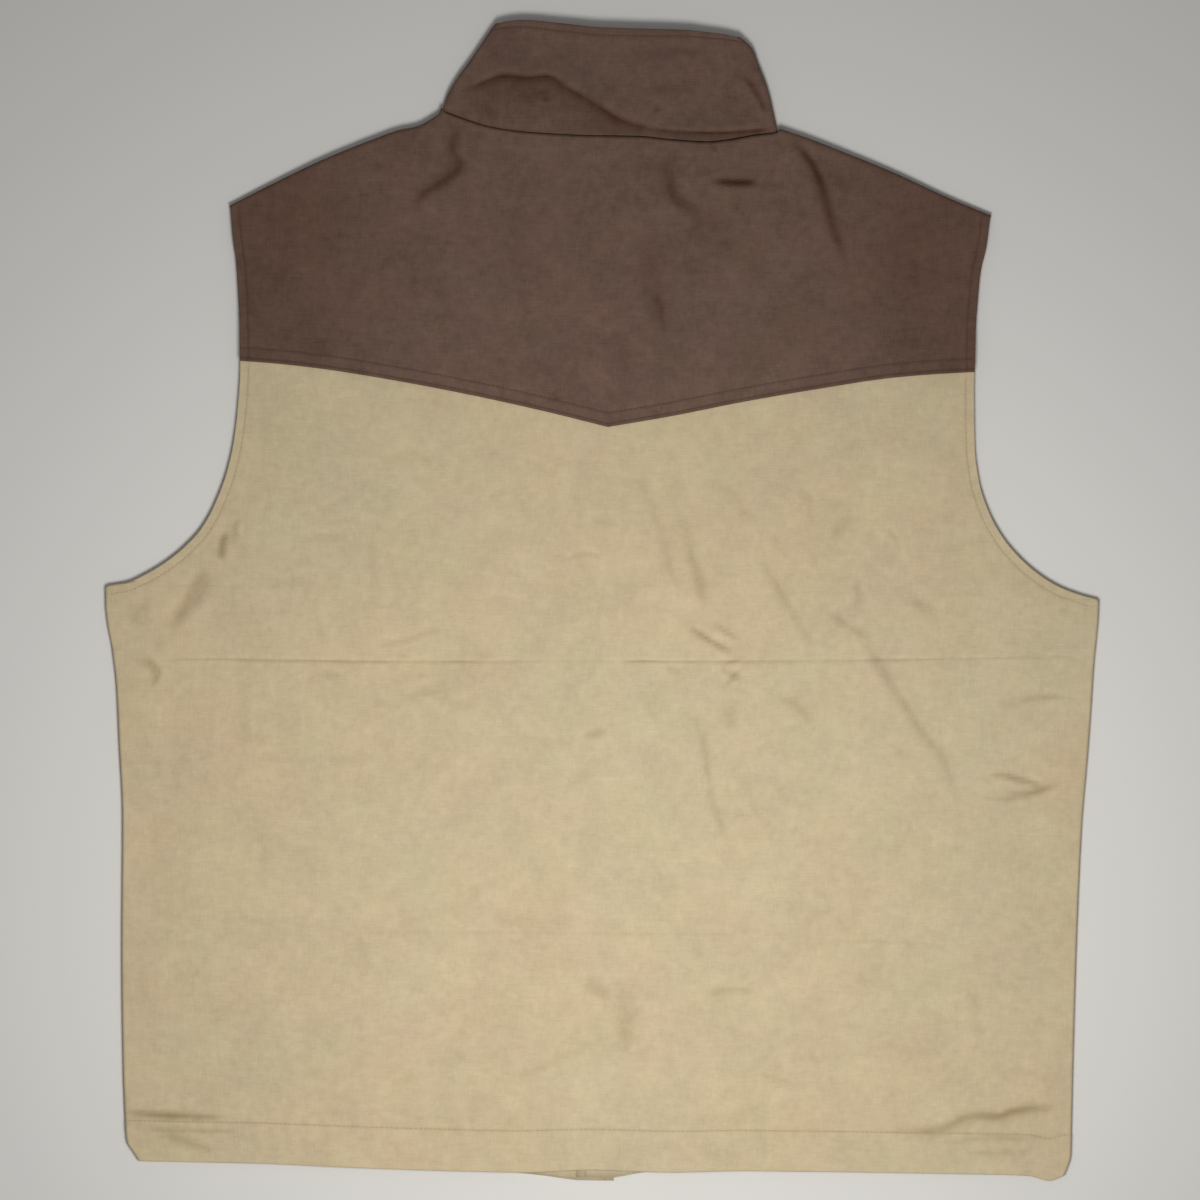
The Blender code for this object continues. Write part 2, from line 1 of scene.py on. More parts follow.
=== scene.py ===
# %% [markdown]
# A western vest of tan canvas, laid flat with its back up: a pointed brown yoke, a stand collar and
# seven snaps underneath.
#
# Each piece of cloth becomes one closed shell on the form of its solid in the frame. A cloth
# simulation could drape the panels, but it would put the creases where it likes. The photo shows
# where this vest's creases are, so each panel is a fine grid of points, and the creases are pressed
# into the grid.
#
# Everything is in metres. +Y runs from the hem to the collar, +Z comes out of the back, and the
# wearer's left is at -X.

# %% Tools and the frame
import math
from collections import namedtuple

import bmesh
import bpy
import numpy as np
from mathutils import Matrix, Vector
from mathutils.bvhtree import BVHTree


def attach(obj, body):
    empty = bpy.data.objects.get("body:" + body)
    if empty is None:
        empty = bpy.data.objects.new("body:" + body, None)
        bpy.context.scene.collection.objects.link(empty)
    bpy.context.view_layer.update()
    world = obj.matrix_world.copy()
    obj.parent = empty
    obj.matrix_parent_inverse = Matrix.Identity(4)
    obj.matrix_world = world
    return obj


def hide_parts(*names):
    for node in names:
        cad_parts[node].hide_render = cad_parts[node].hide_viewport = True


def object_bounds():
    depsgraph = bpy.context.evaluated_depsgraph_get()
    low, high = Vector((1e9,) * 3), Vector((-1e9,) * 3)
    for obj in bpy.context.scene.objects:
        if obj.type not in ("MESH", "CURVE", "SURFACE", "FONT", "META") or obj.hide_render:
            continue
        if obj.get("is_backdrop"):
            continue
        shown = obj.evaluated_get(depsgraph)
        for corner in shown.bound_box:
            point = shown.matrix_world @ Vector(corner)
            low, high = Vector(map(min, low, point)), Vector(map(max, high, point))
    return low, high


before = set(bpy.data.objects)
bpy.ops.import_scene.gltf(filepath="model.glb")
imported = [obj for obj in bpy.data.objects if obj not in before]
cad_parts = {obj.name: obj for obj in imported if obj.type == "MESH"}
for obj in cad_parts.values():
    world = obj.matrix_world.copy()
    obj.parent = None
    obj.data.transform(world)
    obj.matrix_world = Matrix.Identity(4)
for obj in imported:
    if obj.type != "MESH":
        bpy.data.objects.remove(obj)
frame_bounds = [list(corner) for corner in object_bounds()]
print("frame nodes:", sorted(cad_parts))

# %% [markdown]
# The vest lies in layers: the two fronts on the ground, their laps and snaps in the middle, and the
# back on top. How thick the cloth is and how high each layer lies come first, because every surface
# below is the middle of a wall of cloth. One name for each size keeps the layers apart everywhere
# when one of them is changed.

# %% Thickness of the cloth, and how the layers lie
MM = 0.001
CLOTH = 1.6 * MM
COLLAR_CLOTH = 2.0 * MM
SEAM_GAP = 0.3 * MM
SNAP_HEIGHT = 1.2 * MM
FRONT_LAP = 12 * MM
LAP_EDGE = 16 * MM
LAP_RAMP = 18 * MM
LAP_END = LAP_EDGE + LAP_RAMP

FRONT_LEVEL = CLOTH / 2
BACK_LEVEL = CLOTH + SEAM_GAP + CLOTH / 2
LEFT_LIFT = SNAP_HEIGHT + SEAM_GAP
print("middle of the fronts and of the back, mm:", round(FRONT_LEVEL / MM, 2), round(BACK_LEVEL / MM, 2))

# %% [markdown]
# A sewn edge is a smooth curve through a few measured places. Blender's own curve objects could
# draw it, but the grids need its value at thousands of points at once, so a small function reads a
# table of measured rows with numpy. The cubic it uses never swings past the measured values, which
# a plain spline does at a corner such as the armpit.

# %% Curves through measured rows


def along(table, at, column):
    """The column's values at these places, on a smooth curve through the table's rows."""
    places = np.array([row[0] for row in table])
    values = np.array([getattr(row, column) for row in table])
    steps = np.diff(places)
    rises = np.diff(values) / steps
    before, after = rises[:-1], rises[1:]
    same_way = before * after > 0
    middle = np.where(same_way, 2 * before * after / np.where(same_way, before + after, 1), 0)
    slopes = np.concatenate([rises[:1], middle, rises[-1:]])
    at = np.clip(at, places[0], places[-1])
    k = np.clip(np.searchsorted(places, at, side="right") - 1, 0, len(steps) - 1)
    t = (at - places[k]) / steps[k]
    return (
        (1 + 2 * t) * (1 - t) ** 2 * values[k]
        + t * (1 - t) ** 2 * steps[k] * slopes[k]
        + t * t * (3 - 2 * t) * values[k + 1]
        + t * t * (t - 1) * steps[k] * slopes[k + 1]
    )


def ease(t):
    """0 to 1, starting and ending level."""
    t = np.clip(t, 0, 1)
    return t * t * (3 - 2 * t)


def mix(a, b, t):
    return a + (b - a) * t


def bump(t):
    """1 at zero, falling smoothly to nothing about two away."""
    return np.exp(-t * t)


# %% [markdown]
# Cloth is never quite even, and a grid needs more points where the cloth bends sharply. The first
# helper gives smooth uneven values, the same ones on every run, and the second crowds the rows of a
# grid together round the places that need them. That is cheaper than making the whole grid finer.

# %% Uneven values and crowded rows


def rough(x, y, size, seed):
    """Smooth uneven values from -1 to 1 whose swells are about this size across."""
    table = np.random.default_rng(seed).uniform(-1, 1, (64, 64))
    u, v = x / size + 100, y / size + 100
    i, j = np.floor(u).astype(int), np.floor(v).astype(int)
    s, t = ease(u - i), ease(v - j)
    low = mix(table[i % 64, j % 64], table[(i + 1) % 64, j % 64], s)
    high = mix(table[i % 64, (j + 1) % 64], table[(i + 1) % 64, (j + 1) % 64], s)
    return mix(low, high, t)


def spaced(low, high, cells, crowded=()):
    """Cells + 1 places from low to high, closer together round each (place, width, times) of crowded."""
    fine = np.linspace(low, high, 8001)
    density = np.ones_like(fine)
    for place, width, times in crowded:
        density += (times - 1) * bump((fine - place) / width)
    total = np.concatenate([[0], np.cumsum((density[1:] + density[:-1]) / 2)])
    return np.interp(np.linspace(0, total[-1], cells + 1), total, fine)


# %% [markdown]
# Creases, seams and rows of stitches all run along lines, and what they do to the cloth depends on
# how far a point is from the line. A shader could work that out for each pixel, but the creases are
# real shape here, so it is done for each point of the grid.

# %% Distances from lines


def from_line(x, y, line):
    """(distance, place along in metres, side) of points from a line of points; side is 1 on its left."""
    shape = x.shape
    x, y = x.ravel(), y.ravel()
    starts, ends = line[:-1], line[1:]
    ways = ends - starts
    lengths = np.hypot(ways[:, 0], ways[:, 1])
    passed = np.concatenate([[0], np.cumsum(lengths)])
    nearest = np.full(x.shape, 1e9)
    place, side = np.zeros_like(x), np.zeros_like(x)
    for k, (start, way, length) in enumerate(zip(starts, ways, lengths)):
        dx, dy = x - start[0], y - start[1]
        t = np.clip((dx * way[0] + dy * way[1]) / length**2, 0, 1)
        away = np.hypot(dx - t * way[0], dy - t * way[1])
        closer = away < nearest
        nearest = np.where(closer, away, nearest)
        place = np.where(closer, passed[k] + t * length, place)
        side = np.where(closer, np.sign(way[0] * dy - way[1] * dx), side)
    return nearest.reshape(shape), place.reshape(shape), side.reshape(shape)


def smooth_line(points, step=3 * MM):
    """A smooth line through the points, as many short straight pieces."""
    points = np.array(points, float)
    ends = np.vstack([2 * points[0] - points[1], points, 2 * points[-1] - points[-2]])
    made = []
    for a, b, c, d in zip(ends, ends[1:], ends[2:], ends[3:]):
        count = max(1, int(np.hypot(*(c - b)) / step))
        t = np.arange(count)[:, None] / count
        curve = 2 * b + (c - a) * t + (2 * a - 5 * b + 4 * c - d) * t**2 + (3 * b - a - 3 * c + d) * t**3
        made.append(0.5 * curve)
    return np.vstack([*made, points[-1:]])


# %% [markdown]
# A canvas vest that was folded in a packet keeps its folds: long level packing creases, slanting
# ones where the cloth was pulled, and small sharp ones at the corners. Sculpting them would work for
# one picture, but not for a script, so each crease is a line with a kind, a depth and a width. Its
# kind gives its cross-section: how the cloth rises or sinks at q widths from the line, and how much
# light is lost there. The shade is painted into the cloth as well, because a photo's hard lamp draws
# creases darker than this scene's soft light does.

# %% Kinds of crease
Crease = namedtuple("Crease", "kind depth width dark line")


def drop_form(q, right):
    """Raised on its right as it runs, sinking back over a few widths."""
    form = 1 / (1 + np.exp(-3.2 * right)) * np.exp(-((np.maximum(right, 0) / 4.5) ** 1.6))
    return form, bump((right + 0.1) / 0.9)


def ridge_form(q, right):
    """A pointed rise, in shade on its left."""
    return np.exp(-1.1 * q) * bump(q / 3), bump((right + 0.8) / 0.9)


def fold_form(q, right):
    """A steep wall on its left and a long slope on its right."""
    steep = (-0.6 + 0.9 * ease(q / 0.28)) * bump(q / 1.4)
    form = np.where(right < 0, steep, -0.6 * np.exp(-q / 1.6))
    return form, np.where(right < 0, bump(q / 0.2), 0.55 * bump(q / 0.42) + 0.50 * bump(q / 2.6))


def trough_form(q, right):
    """A soft hollow with a faint rise on both sides."""
    return -bump(q) + 0.22 * bump((q - 2.1) / 0.9), bump(q * 0.9)


def valley_form(q, right):
    """A pointed hollow, in shade on its right."""
    form = -np.exp(-1.1 * q) * bump(q / 3) + 0.25 * bump((q - 2.2) / 0.9)
    return form, bump((right - 0.6) / 0.9)


# Faded is the share of the line over which each end fades, and widths is how far the form reaches
Kind = namedtuple("Kind", "form faded widths")
KINDS = {
    "packing": Kind(valley_form, 0.08, 5),
    "valley": Kind(valley_form, 0.3, 5),
    "ridge": Kind(ridge_form, 0.3, 5),
    "drop": Kind(drop_form, 0.25, 10),
    "fold": Kind(fold_form, 0.12, 5),
    "trough": Kind(trough_form, 0.35, 5),
}
print("kinds of crease:", ", ".join(KINDS))

# %% Creases and swells on a grid


def creased(x, y, creases):
    """(lift, dark): how far the creases lift the cloth, and how much light they lose, at each point."""
    lift, dark = np.zeros_like(x), np.zeros_like(x)
    for crease in creases:
        kind = KINDS[crease.kind]
        line = smooth_line(np.array(crease.line) * MM)
        depth, width = crease.depth * MM, crease.width * MM
        margin = kind.widths * width
        near = (x > line[:, 0].min() - margin) & (x < line[:, 0].max() + margin)
        near &= (y > line[:, 1].min() - margin) & (y < line[:, 1].max() + margin)
        if not near.any():
            continue
        away, place, side = from_line(x[near], y[near], line)
        share = place / np.hypot(*np.diff(line, axis=0).T).sum()
        strength = ease(share / kind.faded) * ease((1 - share) / kind.faded)
        strength = strength * (0.85 + 0.25 * rough(x[near], y[near], 17 * MM, 5))
        if crease.kind == "packing":
            strength = strength * (0.8 + 0.3 * rough(x[near], 0 * y[near], 31 * MM, 7))
        q = away / (width * (1 + 0.25 * rough(x[near], y[near], 22 * MM, 6)))
        form, shade = kind.form(q, q * np.where(side < 0, 1, -1))
        lift[near] += depth * strength * form
        dark[near] = 1 - (1 - dark[near]) * (1 - crease.dark * strength * shade)
    return lift, dark


def swells(x, y):
    """The cloth's own unevenness: broad swells and small ripples left by washing."""
    broad = 0.45 * rough(x, y, 90 * MM, 1) + 0.22 * rough(x, y, 38 * MM, 2)
    small = 0.08 * rough(x, y, 15 * MM, 3) + 0.035 * rough(x, y, 7 * MM, 4)
    return (broad + small) * MM


# %% [markdown]
# Canvas has a body of its own, so a panel needs two faces and a rim. A Solidify modifier gives
# them, but it leaves every edge square and doubles the whole grid. This function gives each sheet a
# fine outer face, an inner face with a third of the points, and a rounded edge where the cloth is
# folded, all in one closed mesh. Values for the shader, such as the distance from an edge, go on the
# points as attributes.

# %% Faces that point outwards, and rounded edges
EDGE_ROUND = 0.8 * MM


def normals_of(points):
    """Unit normals of a grid of points."""
    across = np.gradient(points, axis=1)
    up = np.gradient(points, axis=0)
    normal = np.cross(across, up)
    return normal / np.maximum(np.linalg.norm(normal, axis=-1, keepdims=True), 1e-12)


def rounded_to(distance):
    """Share of the half thickness left at this distance from a folded edge."""
    t = np.clip(distance / EDGE_ROUND, 0, 1)
    return np.sqrt(np.maximum(1 - (1 - t) ** 2, 0))


def evened(grid, times):
    """The grid with each point moved towards the mean of its neighbours, so many times."""
    for _ in range(times):
        for axis in (0, 1):
            last = grid.shape[axis] - 1
            before = grid.take([0, *range(last)], axis)
            after = grid.take([*range(1, last + 1), last], axis)
            grid = 0.25 * before + 0.5 * grid + 0.25 * after
    return grid


# %% One closed shell round a grid
INNER_STEP = 3
# The painted shade is weaker on the inner face, whose points are too far apart for sharp shades
SHADE_SEEN_INSIDE = 0.4


def shell(name, middle, thickness, material, rounding=1.0, cells=None, marks=None):
    """A closed wall round a grid of points. cells says which of the grid's cells are cloth."""
    rows, columns = middle.shape[:2]
    if cells is None:
        cells = np.ones((rows - 1, columns - 1), bool)
    normal = normals_of(middle)
    outer = middle + normal * (thickness / 2 * rounding)[..., None]
    inner = middle - evened(normal, 3) * (thickness / 2)
    index = np.arange(rows * columns).reshape(rows, columns)
    inner_index = index + rows * columns
    quads = np.stack([index[:-1, :-1], index[:-1, 1:], index[1:, 1:], index[1:, :-1]], axis=-1)[cells]
    s = INNER_STEP
    coarse = cells[::s, ::s]
    at = inner_index[::s, ::s]
    under = np.stack([at[:-1, :-1], at[1:, :-1], at[1:, 1:], at[:-1, 1:]], axis=-1)[coarse]
    rims = []
    padded = np.pad(coarse, 1)
    for i, j in zip(*np.nonzero(coarse)):
        a, b, c, d = i * s, (i + 1) * s, j * s, (j + 1) * s
        if not padded[i, j + 1]:
            rims.append([*index[a, c : d + 1][::-1], inner_index[a, c], inner_index[a, d]])
        if not padded[i + 2, j + 1]:
            rims.append([*index[b, c : d + 1], inner_index[b, d], inner_index[b, c]])
        if not padded[i + 1, j]:
            rims.append([*index[a : b + 1, c], inner_index[b, c], inner_index[a, c]])
        if not padded[i + 1, j + 2]:
            rims.append([*index[a : b + 1, d][::-1], inner_index[a, d], inner_index[b, d]])
    faces = [*quads.tolist(), *under.tolist(), *rims]
    points = np.concatenate([outer.reshape(-1, 3), inner.reshape(-1, 3)])
    used = np.unique(np.concatenate([quads.ravel(), under.ravel(), np.concatenate(rims)]))
    renumber = np.zeros(len(points), int)
    renumber[used] = np.arange(len(used))
    mesh = bpy.data.meshes.new(name)
    mesh.from_pydata(points[used].tolist(), [], [renumber[face].tolist() for face in faces])
    mesh.update()
    mesh.shade_smooth()
    for mark, values in (marks or {}).items():
        layer = mesh.attributes.new(mark, "FLOAT", "POINT")
        inside = values * (SHADE_SEEN_INSIDE if mark == "dark" else 1)
        both = np.concatenate([values.ravel(), inside.ravel()])[used]
        layer.data.foreach_set("value", both.astype(np.float32))
    mesh.materials.append(material)
    obj = bpy.data.objects.new(name, mesh)
    bpy.context.scene.collection.objects.link(obj)
    mesh.calc_loop_triangles()
    print(f"{name}: {len(mesh.loop_triangles)} triangles")
    return obj


def area_of(points, cells=None):
    """The area of a grid of points in square metres."""
    a, b, c, d = points[:-1, :-1], points[:-1, 1:], points[1:, 1:], points[1:, :-1]
    halves = np.linalg.norm(np.cross(b - a, c - a), axis=-1) + np.linalg.norm(np.cross(c - a, d - a), axis=-1)
    return float((halves if cells is None else halves * cells).sum() / 2)


# %% [markdown]
# Materials are node trees. Three small helpers add a shader node, do a sum, and start a node group
# with named sockets, so that a finish below reads as a recipe and not as a list of links.

# %% Shader helpers


def node(tree, kind, inputs=None, **settings):
    """A shader node with its settings and inputs; an input is a value or another node's socket."""
    made = tree.nodes.new("ShaderNode" + kind)
    for key, value in settings.items():
        setattr(made, key, value)
    for name, value in (inputs or {}).items():
        if isinstance(value, bpy.types.NodeSocket):
            tree.links.new(value, made.inputs[name])
        else:
            made.inputs[name].default_value = value
    return made


def maths(tree, operation, a, b=None, c=None):
    inputs = {i: value for i, value in enumerate((a, b, c)) if value is not None}
    return node(tree, "Math", inputs, operation=operation).outputs[0]


def new_group(name, inputs, outputs):
    """A node group with these (name, kind) sockets, and its two end nodes."""
    group = bpy.data.node_groups.new(name, "ShaderNodeTree")
    for socket, kind in inputs:
        group.interface.new_socket(socket, in_out="INPUT", socket_type="NodeSocket" + kind)
    for socket, kind in outputs:
        group.interface.new_socket(socket, in_out="OUTPUT", socket_type="NodeSocket" + kind)
    return group, group.nodes.new("NodeGroupInput"), group.nodes.new("NodeGroupOutput")


# %% [markdown]
# The cloth is washed cotton canvas: a plain weave with thicker yarns here and there, faint marks of
# washing, and patches that are a little greyer or warmer. A photographed texture would bring its own
# light with it, so it is made of noise: two stretched noises for the weft and the warp, a stretched
# one for the slubs, sines for the weave itself, and broad ones for the wash. Both colours of canvas
# use this one group. It puts out a colour and a height.

# %% Canvas: weave, slubs and wash marks
WEAVE_PITCH = 0.55 * MM
YARN_DRIFT = 1.2 * MM
# How strongly a noise tints the cloth's red, green and blue, and the tint where the noise is nothing
SPECKS_TINT = ((0.08, 0.08, 0.08), (0.96, 0.96, 0.96))
PATCHES_TINT = ((-0.12, 0.04, 0.07), (1.06, 0.98, 0.965))


def canvas_group():
    """Plain weave, slubs and wash marks: a colour and a height in millimetres."""
    group, start, end = new_group(
        "canvas", [("Colour", "Color"), ("Contrast", "Float")], [("Colour", "Color"), ("Height", "Float")]
    )

    def noise(vector, scale, detail, roughness=0.5, output="Fac", **settings):
        inputs = {"Vector": vector, "Scale": scale, "Detail": detail, "Roughness": roughness}
        return node(group, "TexNoise", inputs, **settings).outputs[output]

    def vector(operation, inputs):
        return node(group, "VectorMath", inputs, operation=operation).outputs[0]

    def yarns(scale_x, scale_y, scale, detail):
        inputs = {"Vector": where, "Scale": (scale_x, scale_y, scale_y)}
        return noise(node(group, "Mapping", inputs).outputs[0], scale, detail)

    where = node(group, "TexCoord").outputs["Object"]
    drift = vector("SCALE", {0: noise(where, 60.0, 1.0, output="Color"), "Scale": YARN_DRIFT})
    where = vector("ADD", {0: where, 1: drift})
    x, y, _ = node(group, "SeparateXYZ", {0: where}).outputs
    ups = maths(group, "SINE", maths(group, "MULTIPLY", x, math.pi / WEAVE_PITCH))
    acrosses = maths(group, "SINE", maths(group, "MULTIPLY", y, math.pi / WEAVE_PITCH))
    weave = maths(group, "MULTIPLY", ups, acrosses)
    weft, warp = yarns(1.0, 14.0, 110.0, 2.0), yarns(14.0, 1.0, 110.0, 2.0)
    slub = node(group, "MapRange", {0: yarns(1.0, 26.0, 26.0, 1.0), 1: 0.60, 2: 0.74}).outputs[0]
    wash = noise(where, 34.0, 4.0, 0.68)
    fine = noise(where, 150.0, 3.0, 0.7)
    crumple = noise(where, 30.0, 3.0, noise_type="RIDGED_MULTIFRACTAL")
    tone, height = 0.0, 0.0
    # Each part's value, its middle, how much it changes the tone, and its height in millimetres
    for value, middle, changes_tone, lifts in (
        (weft, 0.5, 0.17, 0.12),
        (warp, 0.5, 0.15, 0.10),
        (wash, 0.5, 0.27, 0),
        (fine, 0.5, 0.30, 0.10),
        (slub, 0, 0.025, 0.05),
        (weave, 0, 0.025, 0.05),
        (crumple, 0, 0, 0.80),
    ):
        if changes_tone:
            tone = maths(group, "MULTIPLY_ADD", maths(group, "SUBTRACT", value, middle), changes_tone, tone)
        if lifts:
            height = maths(group, "MULTIPLY_ADD", value, lifts, height)
    tone = maths(group, "MULTIPLY_ADD", tone, start.outputs["Contrast"], 1.0)
    colour = vector("SCALE", {0: start.outputs["Colour"], "Scale": tone})
    for tint, (strength, least) in (
        (noise(where, 26.0, 3.0, output="Color"), SPECKS_TINT),
        (noise(where, 5.5, 2.0), PATCHES_TINT),
    ):
        colour = vector("MULTIPLY", {0: colour, 1: vector("MULTIPLY_ADD", {0: tint, 1: strength, 2: least})})
    group.links.new(colour, end.inputs["Colour"])
    group.links.new(height, end.inputs["Height"])
    return group


CANVAS = canvas_group()
print("canvas group:", len(CANVAS.nodes), "nodes")

# %% [markdown]
# A row of topstitching pulls the cloth down into a narrow groove along the seam. The stitches are
# real thread further down, and the groove is a bump and a faint shade at a set distance from the
# edge. That distance is stored on the points of each shell, so one group serves every row.

# %% Stitch groove


def groove_group():
    """1 along a line of stitches that runs this far from an edge, and 0 away from it."""
    group, start, end = new_group(
        "stitch groove", [("Distance", "Float"), ("At", "Float"), ("Width", "Float")], [("Groove", "Float")]
    )
    away = maths(group, "SUBTRACT", start.outputs["Distance"], start.outputs["At"])
    away = maths(group, "DIVIDE", away, start.outputs["Width"])
    groove = maths(group, "EXPONENT", maths(group, "MULTIPLY", maths(group, "MULTIPLY", away, away), -1.0))
    group.links.new(groove, end.inputs["Groove"])
    return group


# The mark is the attribute with the distance, at and width are metres, and depth is millimetres
Groove = namedtuple("Groove", "mark at width depth dark")
GROOVE = groove_group()

# %% [markdown]
# Each colour of canvas is one material: the canvas group, its own rows of grooves, and the painted
# shade of its creases. In the photo a crease in tan cloth turns yellower as it darkens, and one in
# brown cloth turns a little redder, so the shade takes a different share of red, green and blue from
# each. Canvas is matt, with a faint sheen of loose fibres.

# %% Canvas and plain materials


def canvas(name, colour, contrast, grooves, sheen, shade_tint):
    """Canvas with its stitch grooves. shade_tint is what a full shade takes from red, green and blue."""
    made = bpy.data.materials.new(name)
    made.use_nodes = True
    tree = made.node_tree
    shader = tree.nodes["Principled BSDF"]
    cloth = node(tree, "Group", node_tree=CANVAS)
    cloth.inputs["Colour"].default_value = (*colour, 1)
    cloth.inputs["Contrast"].default_value = contrast
    height = cloth.outputs["Height"]
    shade = node(tree, "Attribute", attribute_name="dark").outputs["Fac"]
    for groove in grooves:
        mark = node(tree, "Attribute", attribute_name=groove.mark).outputs["Fac"]
        line = node(tree, "Group", node_tree=GROOVE)
        tree.links.new(mark, line.inputs["Distance"])
        line.inputs["At"].default_value = groove.at
        line.inputs["Width"].default_value = groove.width
        height = maths(tree, "MULTIPLY_ADD", line.outputs[0], -groove.depth, height)
        share = maths(tree, "MULTIPLY", line.outputs[0], groove.dark)
        shade = maths(tree, "ADD", shade, share)
    lost = node(tree, "VectorMath", {0: shade_tint, "Scale": shade}, operation="SCALE").outputs[0]
    kept = node(tree, "VectorMath", {0: (1.0, 1.0, 1.0), 1: lost}, operation="SUBTRACT").outputs[0]
    shaded = node(tree, "VectorMath", {0: cloth.outputs["Colour"], 1: kept}, operation="MULTIPLY")
    tree.links.new(shaded.outputs[0], shader.inputs["Base Color"])
    bumped = node(tree, "Bump", {"Height": height, "Distance": 0.001, "Strength": 0.6})
    tree.links.new(bumped.outputs[0], shader.inputs["Normal"])
    shader.inputs["Roughness"].default_value = 0.92
    shader.inputs["Specular IOR Level"].default_value = 0.15
    shader.inputs["Sheen Weight"].default_value = sheen
    shader.inputs["Sheen Roughness"].default_value = 0.6
    return made


def plain(name, colour, roughness, metallic=0.0):
    made = bpy.data.materials.new(name)
    made.use_nodes = True
    shader = made.node_tree.nodes["Principled BSDF"]
    shader.inputs["Base Color"].default_value = (*colour, 1)
    shader.inputs["Roughness"].default_value = roughness
    shader.inputs["Metallic"].default_value = metallic
    return made


# %% The vest's materials
TAN, BROWN, BRASS = (0.578, 0.476, 0.308), (0.150, 0.092, 0.069), (0.30, 0.22, 0.13)
HEM_DEPTH = 26 * MM
ARMHOLE_STITCH = 5.5 * MM
YOKE_STITCHES = (2.0 * MM, 8.7 * MM)
COLLAR_STITCH = 5.0 * MM

tan_canvas = canvas(
    "tan_canvas",
    TAN,
    contrast=1.0,
    grooves=[
        Groove("hem", HEM_DEPTH, 1.1 * MM, 0.30, 0.07),
        Groove("armhole", ARMHOLE_STITCH, 1.0 * MM, 0.25, 0.08),
        Groove("placket", ARMHOLE_STITCH, 1.0 * MM, 0.25, 0.14),
    ],
    sheen=0.05,
    shade_tint=(0.90, 1.0, 1.22),
)
brown_canvas = canvas(
    "brown_canvas",
    BROWN,
    contrast=2.1,
    grooves=[
        Groove("yoke_edge", YOKE_STITCHES[0], 1.0 * MM, 0.25, 0.24),
        Groove("yoke_edge", YOKE_STITCHES[1], 1.0 * MM, 0.30, 0.14),
        Groove("armhole", ARMHOLE_STITCH, 1.0 * MM, 0.25, 0.14),
        Groove("collar_edge", COLLAR_STITCH, 1.1 * MM, 0.30, 0.14),
    ],
    sheen=0.04,
    shade_tint=(0.78, 1.0, 1.12),
)
tan_thread = plain("tan_thread", (0.50, 0.38, 0.235), 0.7)
brown_thread = plain("brown_thread", (0.085, 0.052, 0.040), 0.65)
antique_brass = plain("antique_brass", BRASS, 0.36, 0.9)
print("materials:", [m.name for m in bpy.data.materials])

# %% [markdown]
# The back is one panel from the hem to the yoke, and the fronts reach about as far to the sides.
# Its outline could be traced as a curve and filled, but the cloth rolls over at its edge, so the
# outline is a table instead: how far the cloth reaches to the left and right at each height.

# %% Outline
Edge = namedtuple("Edge", "height left right")
OUTLINE = [
    Edge(-0.3628, 0.2920, 0.3005),
    Edge(-0.3565, 0.2962, 0.3030),
    Edge(-0.3500, 0.3002, 0.3047),
    Edge(-0.3365, 0.3014, 0.3049),
    Edge(-0.2980, 0.3033, 0.3052),
    Edge(-0.2210, 0.3052, 0.3063),
    Edge(-0.1445, 0.3058, 0.3085),
    Edge(-0.0930, 0.3088, 0.3120),
    Edge(-0.0600, 0.3108, 0.3139),
    Edge(-0.0350, 0.3140, 0.3152),
    Edge(-0.0165, 0.3176, 0.3168),
    Edge(-0.0040, 0.3187, 0.3176),
    Edge(0.0050, 0.3182, 0.3172),
    Edge(0.0075, 0.3055, 0.3086),
    Edge(0.0130, 0.2937, 0.2930),
    Edge(0.0200, 0.2822, 0.2808),
    Edge(0.0300, 0.2697, 0.2684),
    Edge(0.0440, 0.2573, 0.2560),
    Edge(0.0610, 0.2486, 0.2464),
    Edge(0.0800, 0.2420, 0.2400),
    Edge(0.1000, 0.2379, 0.2371),
    Edge(0.1200, 0.2358, 0.2363),
    Edge(0.1430, 0.2346, 0.2359),
    Edge(0.1600, 0.2347, 0.2361),
    Edge(0.1770, 0.2354, 0.2364),
    Edge(0.1950, 0.2367, 0.2376),
    Edge(0.2150, 0.2385, 0.2395),
    Edge(0.2300, 0.2409, 0.2429),
    Edge(0.2500, 0.2429, 0.2455),
]
ARMPIT = 0.0050

HEM_EDGE = OUTLINE[0].height
widest = max(OUTLINE, key=lambda edge: edge.left + edge.right)
print("width at the armpits, mm:", round((widest.left + widest.right) / MM, 1))


def reach(height, side):
    """How far the back reaches to this side (-1 left, 1 right) at this height."""
    return np.where(side < 0, along(OUTLINE, height, "left"), along(OUTLINE, height, "right"))


# %% [markdown]
# Below the armpits the back rolls over at the side and meets the front in the side seam. Above them
# the armhole is an open edge, so the roll dies out there. Bending a finished flat panel with a
# modifier would pull the armhole in too. Here the last columns of the grid carry an angle round the
# roll, and the height decides how much of it is used.

# %% Rolled sides
SIDE_FULLNESS = 1.0 * MM
SIDE_TAIL = 0.2 * MM
SIDE_ROUND = (BACK_LEVEL + SIDE_FULLNESS - FRONT_LEVEL - SEAM_GAP) / 2 - SIDE_TAIL
ROLL_ENDS_BELOW = 10 * MM
ROLL_ENDS_OVER = 15 * MM
TURNS = np.array([8, 18, 30, 45, 60, 75, 90, 95, 100], float)
LAST_TURN = 100
# How much of the way from the centre to the side the neck takes
NECK_SHARE = 0.436


